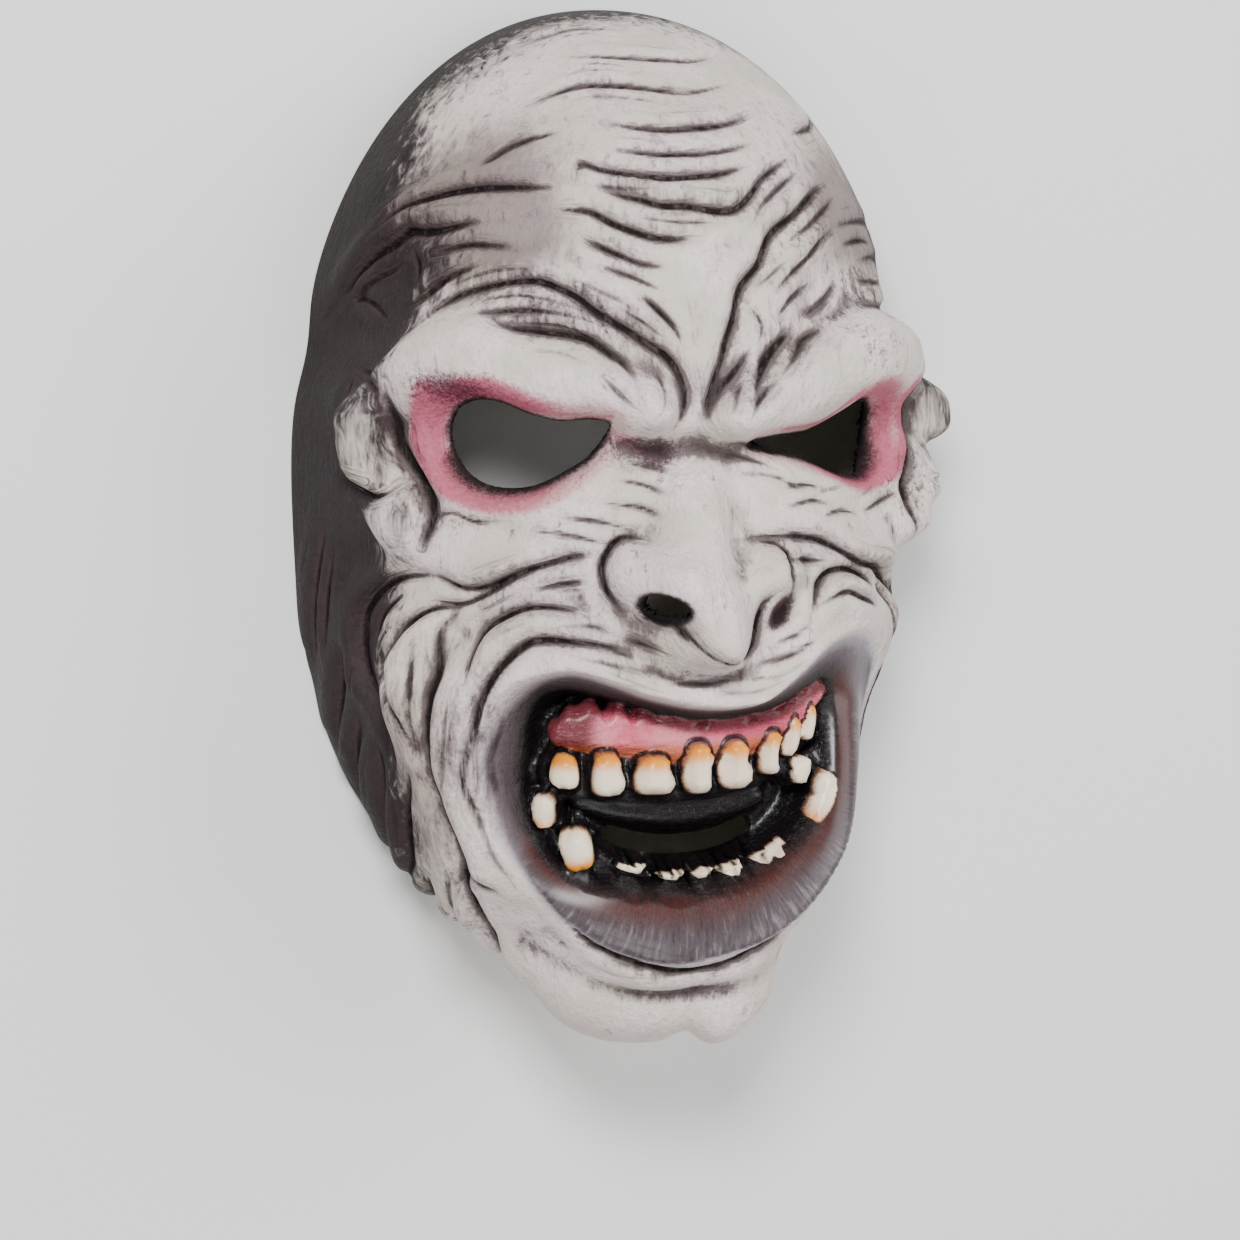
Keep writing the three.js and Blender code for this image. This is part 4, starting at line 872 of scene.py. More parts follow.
    @staticmethod
    def eye_lines() -> list[Line]:
        """Short lines round the eyes, and the dark gaps beside the drips of flesh."""
        fine = [
            ((-60, -16.5), (-54.5, -15.4), (-51, -17.6), (-43, -17.7)),
            ((-19, -9), (-13.4, -10), (-7.5, -12.3)), ((-21, -14), (-13.4, -15), (-9, -17)),
            ((-30, -17), (-22, -18), (-15, -20)), ((-36, -20), (-28, -21), (-20, -23)),
            ((6, -4), (12, -5.5), (18.5, -7.6)), ((6, -1.3), (14, -2.6), (20, -4.6)),
            ((10, -8), (17, -9), (24, -12)), ((19, -11.5), (25, -11), (31, -12)),
            ((21, -15.5), (27, -14.4), (33, -15.6)), ((28, -13), (33, -12), (38, -11.4)),
            ((30, -18), (37, -17), (44, -18)), ((45, -14), (50, -12.6), (54, -10.6)),
            ((48, -17.4), (55, -15.6), (60, -13)), ((-16, -5.6), (-11, -6.4), (-7, -7.6)),
        ]
        deep = [
            Line(((-72, 17), (-70.6, 10), (-69.7, 3), (-66, -3), (-63.4, -7), (-61.7, -12), (-62, -18),
                  (-64.6, -25)), 3.0, 1.6),
            Line(((69.7, 5), (68, -3), (66, -8), (63.5, -13), (63.5, -18), (66, -25)), 2.2, 1.3, ink=0.9),
            Line(((-86, -6), (-79, -11), (-72, -10), (-67, -7)), 2.8, 1.5),
            Line(((82, -6), (76, -10), (70, -9)), 2.0, 1.2),
            Line(((-80, 24), (-76, 19), (-74.5, 13)), 1.2, 1.1, ink=0.9),
            Line(((70, 20), (69, 14), (70, 8)), 1.2, 1.3, ink=0.9),
            Line(((-82, 22), (-85, 16), (-84, 10)), 1.4, 1.3),
        ]
        return deep + [Line(points, 0.8, 0.6, ink=0.6) for points in fine]

    @staticmethod
    def nose_lines() -> list[Line]:
        """Lines of the nose and upper lip."""
        fine = [
            ((-10, -52), (-2, -53.5), (6, -53)), ((-24, -47.5), (-14, -50), (-6, -52)),
            ((-28, -47), (-20, -49), (-13, -51.5)), ((12, -53), (18, -52), (24, -48.6)),
            ((14, -49.6), (20, -48), (26, -45)), ((-19, -42.6), (-12, -45), (-5, -48)),
            ((17, -45), (22, -43.6), (27, -41)), ((-22, -50), (-16, -52.6), (-9, -55)),
            ((4, -55.6), (12, -55.4), (19, -53)),
        ]
        deep = [
            Line(((-12.5, -22), (-17.6, -21.4), (-20.6, -24), (-22, -28), (-21, -32.6), (-18, -37)), 2.2,
                 1.0),
            Line(((12.6, -23), (18, -23.6), (21, -26), (22.3, -30.7), (21.4, -36)), 2.0, 1.0),
            Line(((18.5, -34), (15, -36.6), (13.4, -40), (12.2, -45), (10, -48.8)), 3.4, 1.4, puff=0.3),
            Line(((-5, -39.6), (-2.5, -43), (1.7, -47), (6, -48.6), (10, -48.6)), 2.0, 1.0, puff=0.2),
            Line(((-13, -37.6), (-9, -40), (-5, -41), (-2, -45)), 1.8, 1.3, puff=0.2),
        ]
        return deep + [Line(points, 0.7, 0.6, ink=0.62) for points in fine]

    def rise(self, u: Array, v: Array) -> Array:
        """Height of the swellings and rolls together, without creases or mouth."""
        return sum(form.rise(u, v) for form in self.swellings + self.rolls)

    def raised(self, u: Array, v: Array, height: Array) -> Array:
        """Points at a height over the dome, with the brows and nose tip hanging a little."""
        points = self.dome.at(u, v) + height[..., None] * self.dome.normal(u, v)
        for form in self.overhangs:
            points[..., 1] -= form.rise(u, v)
        return points

    def carried(self, points: Sequence[Sequence[float]]) -> list[tuple[float, ...]]:
        """Readings carried onto the swellings and rolls."""
        return self.carrier.carry(points, lambda u, v: self.raised(u, v, self.rise(u, v)))

    def eyes(self, u: Array, v: Array, reach: float = 60.0) -> Array:
        """How far each place lies within an eye hole, negative outside."""
        return np.maximum(self.left_eye.depth(u, v, reach), self.right_eye.depth(u, v, reach))

    def holes(self, u: Array, v: Array) -> Array:
        """How far each place lies within a hole: the eyes, one nostril and the slit in the mouth."""
        slit = self.mouth.slit_half - np.minimum(self.mouth.slit.nearest(u, v, 12.0).distance, 12.0)
        along, across = turned(self.nostril_at, self.nostril_turn, u, v)
        half_long, half_wide = self.nostril_half
        nostril = (1.0 - np.hypot(along / half_long, across / half_wide)) * half_wide
        return np.maximum(np.maximum(slit, nostril), self.eyes(u, v, 12.0))

    def shape(self, u: Array, v: Array) -> tuple[Array, dict[str, Array]]:
        """The carved surface: swellings, rolls and creases, the mouth, and lids turned in at the eyes.

        Args:
            u: Places' first coordinates, in mm.
            v: Places' second coordinates, in mm.

        Returns:
            Points in mm, and the paint masks by name.
        """
        skin = self.rise(u, v)
        names = [f"{part}{c}" for part in ("line", "line_on", "which") for c in range(self.channels)]
        masks = {name: np.zeros(u.shape) for name in ["halo", "beside", "length", "which"] + names}
        nearest = np.full((self.channels + 1, *u.shape), 9.0)
        for k, (crease, c) in enumerate(zip(self.creases, self.channel)):
            near = crease.path.nearest(u, v, reach=6.0 * crease.width + 4.0)
            rise, halo = crease.rise_and_shade_halo(near)
            skin += rise
            masks["halo"] = 1.0 - (1.0 - masks["halo"]) * (1.0 - halo)
            place, strength = crease.stroke(near)
            length = near.along * crease.path.length + self.apart * k
            for n, fresh in ((c, {f"line{c}": place, f"line_on{c}": strength, f"which{c}": k}),
                             (self.channels, {"beside": near.distance, "which": k, "length": length})):
                closer = near.distance < nearest[n]
                nearest[n] = np.where(closer, near.distance, nearest[n])
                for name, values in fresh.items():
                    masks[name] = np.where(closer, values, masks[name])
        masks["close_by"] = np.exp(-(nearest[-1] / 3.2) ** 2)
        skin -= 3.2 * np.exp(-(np.minimum(self.eyes(u, v, 12.0), 0.0) / 1.7) ** 2)
        height, mouth = self.mouth.shape(u, v, skin)
        return self.raised(u, v, height), masks | mouth


class SkinGrid:
    """A grid of places over the face, drawn closer together where the surface is steep."""

    rows = 336
    columns = 252
    relax_rounds = 90

    def __init__(self, face: Face) -> None:
        """Lays the grid: a square pressed into a disc, so that there is no pole, then relaxed."""
        self.face = face
        a = self.spaced(self.columns, 0.24)[None, :]
        b = self.spaced(self.rows, 0.12)[:, None]
        self.x = a * np.sqrt(1 - b * b / 2)
        self.y = b * np.sqrt(1 - a * a / 2)
        self.relax()
        self.u, self.v = self.places(self.x, self.y)
        self.snap_to_holes()

    @staticmethod
    def spaced(count: int, crowd: float) -> Array:
        """Numbers from -1 to 1, crowded towards the middle by a share of a sine."""
        t = np.linspace(-1, 1, count)
        return t - crowd * np.sin(math.pi * t) / math.pi

    def places(self, x: Array, y: Array) -> tuple[Array, Array]:
        """Places (u, v) on the face of points of the unit disc, whose circle is the rim."""
        dome = self.face.dome
        angle = np.arctan2(y, x)
        radius = np.hypot(x, y) * dome.rim_length(angle)
        return radius * np.cos(angle), dome.pole_y + radius * np.sin(angle)

    def relax(self) -> None:
        """Moves each grid point towards its neighbours, the more the longer the side between them."""
        for _ in range(3):
            u, v = self.places(self.x, self.y)
            height, masks = self.face.mouth.shape(u, v, self.face.rise(u, v))
            points = self.face.raised(u, v, height)
            pull = 1.0 + 1.1 * smooth(-4.0, 4.0, masks["cavity"])
            across = np.linalg.norm(np.diff(points, axis=1), axis=-1) ** 1.2 * (pull[:, 1:] + pull[:, :-1])
            along = np.linalg.norm(np.diff(points, axis=0), axis=-1) ** 1.2 * (pull[1:] + pull[:-1])
            right, left = across[1:-1, 1:], across[1:-1, :-1]
            above, below = along[1:, 1:-1], along[:-1, 1:-1]
            total = right + left + above + below
            for _ in range(self.relax_rounds // 3):
                for grid in (self.x, self.y):
                    moved = (right * grid[1:-1, 2:] + left * grid[1:-1, :-2]
                             + above * grid[2:, 1:-1] + below * grid[:-2, 1:-1]) / total
                    grid[1:-1, 1:-1] = moved

    def snap_to_holes(self) -> None:
        """Slides the grid points nearest each hole's edge onto it, along the way to the edge."""
        step = 0.15
        span = np.zeros(self.u.shape)
        for axis in (0, 1):
            side = np.hypot(np.diff(self.u, axis=axis), np.diff(self.v, axis=axis))
            low = [slice(None)] * 2
            high = [slice(None)] * 2
            low[axis], high[axis] = slice(None, -1), slice(1, None)
            span[tuple(low)] = np.maximum(span[tuple(low)], side)
            span[tuple(high)] = np.maximum(span[tuple(high)], side)
        level = self.face.holes(self.u, self.v)
        self.on_edge = np.abs(level) < 0.56 * span
        u, v = self.u[self.on_edge], self.v[self.on_edge]
        for _ in range(3):
            here = self.face.holes(u, v)
            du = (self.face.holes(u + step, v) - self.face.holes(u - step, v)) / (2 * step)
            dv = (self.face.holes(u, v + step) - self.face.holes(u, v - step)) / (2 * step)
            size = np.maximum(du * du + dv * dv, 0.2)
            u, v = u - here * du / size, v - here * dv / size
        self.u[self.on_edge], self.v[self.on_edge] = u, v
        self.in_hole = (level > 0) & ~self.on_edge


class Finish(Enum):
    """The record's material slot names; none is given to a piece here."""

    LATEX = "latex"


class Wires:
    """A node tree under construction, and the one method that adds any node to it."""

    def __init__(self, name: str) -> None:
        """Starts an empty material."""
        self.material = bpy.data.materials.new(name)
        self.material.use_nodes = True
        self.tree = self.material.node_tree
        self.tree.nodes.clear()

    def node(self, kind: str, settings: dict[str, Any] | None = None, **inputs: Any) -> Any:
        """Adds a node.

        Args:
            kind: The node's type, such as ShaderNodeMath.
            settings: Its own properties, set first. Stops fills a colour ramp.
            inputs: Values or sockets by input name, with _ for a blank.

        Returns:
            The new node.
        """
        made = self.tree.nodes.new(kind)
        for key, value in (settings or {}).items():
            if key == "stops":
                self.fill_ramp(made.color_ramp, value)
            else:
                setattr(made, key, value)
        for key, value in inputs.items():
            self.feed(made.inputs[key.replace("_", " ")], value)
        return made

    @staticmethod
    def fill_ramp(ramp: Any, stops: Sequence[tuple[float, Any]]) -> None:
        """Sets a colour ramp's stops: place and colour or grey."""
        while len(ramp.elements) > 1:
            ramp.elements.remove(ramp.elements[-1])
        for k, (place, colour) in enumerate(stops):
            stop = ramp.elements[0] if k == 0 else ramp.elements.new(place)
            stop.position = place
            stop.color = (*colour, 1.0) if isinstance(colour, tuple) else (colour, colour, colour, 1.0)

    def feed(self, socket: Any, value: Any) -> None:
        """Links a socket, or sets its value."""
        if isinstance(value, Socket):
            self.tree.links.new(value.out, socket)
        elif isinstance(value, tuple) and len(value) == 3 and socket.type == "RGBA":
            socket.default_value = (*value, 1.0)
        else:
            socket.default_value = value

    def mask(self, name: str) -> "Socket":
        """A paint mask stored on the mesh's points."""
        return Socket(self, self.node("ShaderNodeAttribute", {"attribute_name": name}).outputs["Fac"])

    def blend(self, amount: "Socket | float", first: Any, second: Any) -> "Socket":
        """Mixes two colours."""
        made = self.node("ShaderNodeMix", {"data_type": "RGBA", "clamp_factor": True})
        self.feed(made.inputs[0], amount)
        self.feed(made.inputs[6], first)
        self.feed(made.inputs[7], second)
        return Socket(self, made.outputs[2])

    def noise(self, scale: float, detail: float = 4.0, rough: float = 0.55, vector: Any = None,
              warp: float = 0.0) -> "Socket":
        """Soft noise over Object coordinates, or over another vector, from about 0.3 to 0.7."""
        where = vector if vector is not None else self.coordinates()
        made = self.node("ShaderNodeTexNoise", Vector=where, Scale=scale, Detail=detail, Roughness=rough,
                         Distortion=warp)
        return Socket(self, made.outputs["Fac"])

    def stretched(self, turn: tuple[float, float, float], scale: tuple[float, float, float]) -> "Socket":
        """Object coordinates turned and scaled, for marks that run one way."""
        made = self.node("ShaderNodeMapping", {"vector_type": "POINT"}, Vector=self.coordinates(),
                         Rotation=turn, Scale=scale)
        return Socket(self, made.outputs["Vector"])

    def coordinates(self) -> "Socket":
        """Object coordinates."""
        return Socket(self, self.node("ShaderNodeTexCoord").outputs["Object"])


@dataclass(frozen=True)
class Socket:
    """A number in the shader, on which the usual signs add Math nodes."""

    wires: Wires
    out: Any

    def math(self, operation: str, *others: Any, clamp: bool = False) -> "Socket":
        """Adds one Math node with this as its first input."""
        made = self.wires.node("ShaderNodeMath", {"operation": operation, "use_clamp": clamp})
        for socket, value in zip(made.inputs, (self, *others)):
            self.wires.feed(socket, value)
        return Socket(self.wires, made.outputs[0])

    def __add__(self, other: Any) -> "Socket":
        """Sum."""
        return self.math("ADD", other)

    __radd__ = __add__

    def __mul__(self, other: Any) -> "Socket":
        """Product."""
        return self.math("MULTIPLY", other)

    __rmul__ = __mul__

    def __sub__(self, other: Any) -> "Socket":
        """Difference."""
        return self.math("SUBTRACT", other)

    def __rsub__(self, other: float) -> "Socket":
        """A number less this."""
        return (self * -1.0) + other

    def step(self, low: float, high: float) -> "Socket":
        """Smooth step from 0 at low to 1 at high."""
        made = self.wires.node("ShaderNodeMapRange", {"interpolation_type": "SMOOTHSTEP"}, Value=self,
                               From_Min=low, From_Max=high)
        return Socket(self.wires, made.outputs["Result"])


@dataclass(frozen=True)
class Brushwork:
    """The noises that break up every layer of paint.

    Strokes run beside the creases: noise over the distance from the nearest one and the way along
    it, drawn out along it. Away from creases they run one way across the face.
    """

    grain: Socket
    speck: Socket
    cloud: Socket
    brushed: Socket
    strokes: Socket
    edge: Socket

    @classmethod
    def laid(cls, w: Wires) -> "Brushwork":
        """Adds the noises to a material."""
        grain = w.noise(1000.0, 2.0, 0.65)
        speck = w.noise(2300.0, 1.0, 0.6)
        brushed = w.noise(430.0, 3.0, 0.68, w.stretched((0, 0, 0.6), (1.0, 0.2, 1.0)), 0.5)
        place = w.node("ShaderNodeCombineXYZ", X=w.mask("beside") * 1.5, Y=w.mask("length") * 0.17)
        beside = w.noise(1.0, 3.0, 0.68, Socket(w, place.outputs[0]), 0.25)
        close_by = w.mask("close_by")
        strokes = beside * close_by + brushed * (1.0 - close_by)
        edge = (grain - 0.5) * 0.9 + (speck - 0.5) * 0.8
        return cls(grain, speck, w.noise(55.0, 3.0, 0.62), brushed, strokes, edge)


@dataclass(frozen=True)
class PaintedLatex:
    """The painted outside: pale skin, dark wash and painted shade, pink lids and gum, cream teeth and grey
    lip.
    """

    skin: Colour = (0.60, 0.535, 0.47)
    highlight: Colour = (0.82, 0.70, 0.71)
    grey_brown: Colour = (0.13, 0.095, 0.09)
    # Dark glaze of the spray, and also the painted shade in hollows and beside the creases.
    glaze_and_shade: Colour = (0.050, 0.032, 0.034)
    wash: Colour = (0.008, 0.004, 0.005)
    # Near black for the sides: dark airbrush deepened with painted shadow.
    side: Colour = (0.007, 0.004, 0.005)
    pink: Colour = (0.42, 0.062, 0.125)
    purple: Colour = (0.07, 0.014, 0.030)
    gum: Colour = (0.56, 0.085, 0.145)
    gum_light: Colour = (0.72, 0.26, 0.30)
    gum_dark: Colour = (0.10, 0.014, 0.020)
    tooth: Colour = (0.84, 0.72, 0.56)
    stain: Colour = (0.78, 0.27, 0.018)
    brown: Colour = (0.42, 0.11, 0.028)
    lining: Colour = (0.005, 0.0035, 0.0045)
    lip_stops: tuple[tuple[float, Colour], ...] = (
        (0.0, (0.16, 0.135, 0.15)), (0.12, (0.095, 0.076, 0.086)), (0.45, (0.072, 0.055, 0.063)),
        (0.66, (0.065, 0.034, 0.036)), (0.82, (0.060, 0.014, 0.011)), (0.96, (0.030, 0.007, 0.006)),
        (1.0, (0.008, 0.004, 0.004)),
    )
    # The slope of the lips into the mouth: grey lip paint at the crest, darkening inwards as painted shade.
    ring_shade_stops: tuple[tuple[float, Colour], ...] = (
        (0.0, (0.52, 0.49, 0.52)), (0.16, (0.34, 0.30, 0.34)), (0.42, (0.11, 0.085, 0.105)),
        (0.72, (0.035, 0.024, 0.030)), (1.0, (0.008, 0.006, 0.007)),
    )
    lip_pale: Colour = (0.27, 0.235, 0.255)
    lip_dim: Colour = (0.030, 0.020, 0.024)
    tooth_worn: Colour = (0.70, 0.54, 0.36)
    tooth_edge: Colour = (0.22, 0.10, 0.05)
    # Black paint at the eye holes' edges, and painted shade on the walls of the nostril and the slit.
    black_rim_and_hole_shade: Colour = (0.012, 0.008, 0.009)
    back: Colour = (0.50, 0.45, 0.34)
    back_grey: Colour = (0.50, 0.46, 0.38)
    matt: float = 0.62

    def ramp(self, w: Wires, amount: Socket, stops: Sequence[tuple[float, Any]]) -> Socket:
        """A colour that runs through the stops."""
        return Socket(w, w.node("ShaderNodeValToRGB", {"stops": stops}, Fac=amount).outputs["Color"])

    def skin_paint(self, w: Wires, b: Brushwork) -> Socket:
        """The skin: two pale tones, grey-brown patches, pink and purple lids, dark sides with painted
        shadow, and spray.
        """
        tone = b.cloud.step(0.38, 0.62) * 0.8 + (b.strokes - 0.5) * 1.6 + (b.speck - 0.5) * 0.5
        colour = w.blend(tone, self.skin, self.highlight)
        mottle = b.strokes.step(0.52, 0.75) * 0.34 + (b.cloud * 0.6 + b.grain * 0.5).step(0.56, 0.74) * 0.26
        colour = w.blend(mottle * w.mask("away"), colour, self.grey_brown)
        # Grey-brown patches at the given places, broken up by noise.
        greyed = (w.mask("greyed") * 1.1 + (b.cloud - 0.5) * 0.9 + (b.strokes - 0.5) * 1.2).step(0.15, 1.1)
        colour = w.blend(greyed * 0.78, colour, self.grey_brown)
        pink = (w.mask("pink") + b.edge * 0.45 + (b.cloud - 0.5) * 0.7).step(0.25, 1.0)
        colour = w.blend(pink * 0.9, colour, self.pink)
        colour = w.blend((w.mask("purple") + b.edge * 0.8).step(0.3, 0.95) * 0.9, colour, self.purple)
        # The sides and the top by the rim go near black: dark airbrush, partly painted shadow.
        side = (w.mask("side") * 1.2 + (b.strokes - 0.5) * 1.4 + (b.cloud - 0.5) * 0.6).step(0.15, 0.85)
        colour = w.blend(side * 0.97, colour, self.side)
        broken = (b.brushed - 0.5) * 1.6 + (b.grain - 0.5) * 1.2 + (b.speck - 0.5) * 0.6
        dots = (w.mask("spray") * 0.75 + broken).step(0.35, 0.85)
        return w.blend(dots * 0.72, colour, self.glaze_and_shade)

    def streaks(self, w: Wires) -> Socket:
        """Streaks over the lower lip: noise over the way along it and the depth within the mouth."""
        flow = w.node("ShaderNodeCombineXYZ", X=w.mask("flow") * 1.15, Y=w.mask("ring") * 0.2)
        return w.noise(1.0, 3.0, 0.62, Socket(w, flow.outputs[0]))

    def lip_paint(self, w: Wires, b: Brushwork, share: Socket, streaks: Socket) -> Socket:
        """The lower lip: a ramp inwards, with pale streaks on its outside and dark ones all over."""
        lip = self.ramp(w, share + (streaks - 0.5) * 0.22, self.lip_stops)
        outer = 1.0 - w.mask("share").step(0.35, 0.8)
        pale = (streaks * 0.9 + b.cloud * 0.5 + b.edge * 0.1).step(0.70, 0.95)
        lip = w.blend(pale * outer * 0.7, lip, self.lip_pale)
        dim = (streaks * -0.9 - b.cloud * 0.5 + b.edge * 0.1 + 1.4).step(0.70, 0.92)
        return w.blend(dim * 0.8, lip, self.lip_dim)

    def gum_paint(self, w: Wires, b: Brushwork) -> Socket:
        """The gum: two pinks, darker at its edges and ends, and brown down to the teeth."""
        gum = w.blend(b.cloud.step(0.42, 0.6) * 0.7 + (b.grain - 0.5) * 0.8, self.gum, self.gum_light)
        gum = w.blend((w.mask("gum_dark") + b.edge * 0.35).step(0.2, 0.9) * 0.92, gum, self.gum_dark)
        stained = (w.mask("gum_stain") + b.edge * 0.3 + (b.cloud - 0.5) * 0.6).step(0.15, 1.0)
        return w.blend(stained * 0.85, gum, self.brown)

    def tooth_paint(self, w: Wires, b: Brushwork) -> Socket:
        """The teeth: cream, orange at the root, and a thin brown outline."""
        tooth = w.blend(b.cloud.step(0.4, 0.7) * 0.35 + (b.grain - 0.5) * 0.4, self.tooth, self.tooth_worn)
        stain = (w.mask("stain") + b.edge * 0.14 + (b.cloud - 0.5) * 0.3).step(0.08, 0.92)
        tooth = w.blend(stain, tooth, self.stain)
        outline = 1.0 - (w.mask("tooth") + b.edge * 0.08).step(0.0, 0.13)
        return w.blend(outline, tooth, self.tooth_edge)

    def wash_line(self, w: Wires, channel: int, ragged: Socket) -> Socket:
        """Dark wash in the creases of one channel: 1 within a ragged number of half widths."""
        offset = w.mask(f"line{channel}").math("ABSOLUTE") + ragged
        return (1.0 - offset.step(0.3, 1.75)) * w.mask(f"line_on{channel}")

    def wash_lines(self, w: Wires, b: Brushwork) -> Socket:
        """Dark wash in all the creases: the largest over the channels."""
        ragged = (b.grain - 0.5) * 1.2 + (b.strokes - 0.5) * 1.5
        line = self.wash_line(w, 0, ragged)
        for channel in range(1, Face.channels):
            line = line.math("MAXIMUM", self.wash_line(w, channel, ragged))
        return line

    def material(self) -> bpy.types.Material:
        """Builds the shader from the paint masks and procedural noise, layer over layer.

        Returns:
            The finished material.
        """
        w = Wires("painted_latex")
        b = Brushwork.laid(w)
        share = w.mask("share") + (b.strokes - 0.5) * 0.10 + (b.grain - 0.5) * 0.10
        streaks = self.streaks(w)
        in_ring = w.mask("ring").step(-0.3, 1.6)
        lip_zone = (w.mask("lip_zone") + b.edge * 0.2).step(0.25, 0.75)
        lining_zone = (w.mask("cavity") + b.edge * 0.9).step(-0.7, 1.1)
        gum_zone = (w.mask("gum") + b.edge * 0.14).step(0.40, 0.62)
        tooth_zone = (w.mask("tooth") + b.edge * 0.04).step(-0.04, 0.05)
        groove = 1.0 - (w.mask("around") - 1.13 + b.edge * 0.05).math("ABSOLUTE").step(0.05, 0.17)
        # Within the ring: lip paint darkening into the mouth, partly painted shade.
        colour = w.blend(in_ring * 0.95, self.skin_paint(w, b), self.ramp(w, share, self.ring_shade_stops))
        colour = w.blend(lip_zone, colour, self.lip_paint(w, b, share, streaks))
        colour = w.blend(lining_zone, colour, self.lining)
        colour = w.blend(gum_zone, colour, self.gum_paint(w, b))
        colour = w.blend(groove * lining_zone * 0.95, colour, self.lining)
        colour = w.blend(tooth_zone, colour, self.tooth_paint(w, b))

        bare = (1.0 - tooth_zone) * (1.0 - gum_zone * 0.7) * (1.0 - lining_zone)
        # Painted shade with wash: the glaze darkens beside the creases, in small hollows and in broad
        # valleys between folds.
        valley_shade = w.mask("valley_shade") * (b.cloud * 0.6 + b.strokes * 0.6)
        soft = w.mask("halo") * 1.15 + w.mask("hollow") * 0.95 + valley_shade
        uneven = (b.strokes - 0.5) * 1.5 + b.edge * 0.35 + (b.cloud - 0.5) * 0.5
        soft = (soft + uneven * soft.step(0.0, 0.4)).step(0.04, 1.0)
        colour = w.blend(soft * 0.86 * bare, colour, self.glaze_and_shade)
        line = self.wash_lines(w, b)
        wear = b.brushed.step(0.34, 0.60) * 0.5 + 0.5
        # The darkest wash: the creases' lines, and painted shade at the bottom of the deepest hollows.
        deep = (w.mask("hollow") + b.edge * 0.3 + (b.strokes - 0.5) * 0.6).step(0.55, 1.25) * 0.75
        dark = (line * wear * 1.2 + deep - line * deep).math("MINIMUM", 1.0) * bare
        colour = w.blend(dark * 0.95, colour, self.wash)
        inside = w.mask("inside").step(0.4, 0.6)
        colour = w.blend(inside, colour, w.blend(b.cloud.step(0.35, 0.65), self.back, self.back_grey))
        # Black lid paint at the eye holes, and painted shade on the walls of the other holes.
        black = (w.mask("black_rim_and_hole_shade") + b.edge * 0.35).step(0.3, 0.95)
        colour = w.blend(black * (1.0 - tooth_zone) * 0.97, colour, self.black_rim_and_hole_shade)

        wet = lining_zone * (1.0 - tooth_zone)
        roughness = self.matt - wet * 0.32 - tooth_zone * 0.30 - lip_zone * 0.22 - gum_zone * 0.02
        roughness = roughness + (b.grain - 0.5) * 0.16 + inside * 0.2 + dark * 0.2 + soft * 0.1
        coat = wet * 0.35 + tooth_zone * 0.4 + lip_zone * 0.6
        folds = w.noise(330.0, 2.0, 0.6, w.stretched((0, 0, 0.0), (0.3, 1.5, 1.0)), 0.8)
        skin_relief = b.strokes * 0.5 + w.noise(600.0, 2.0, 0.7) * 0.5 - line * 0.45
        mouth_relief = folds * wet * 0.9 + streaks * lip_zone * 0.7
        relief = skin_relief * (1.0 - tooth_zone * 0.85) * (1.0 - lip_zone * 0.6) + mouth_relief
        bump = w.node("ShaderNodeBump", Strength=1.0, Distance=MM, Height=relief)
        shader = w.node("ShaderNodeBsdfPrincipled", Base_Color=colour, Roughness=roughness, IOR=1.45,
                        Specular_IOR_Level=0.16, Coat_Weight=coat, Coat_Roughness=0.28,
                        Normal=Socket(w, bump.outputs[0]))
        out = w.node("ShaderNodeOutputMaterial")
        w.tree.links.new(shader.outputs[0], out.inputs["Surface"])
        return w.material


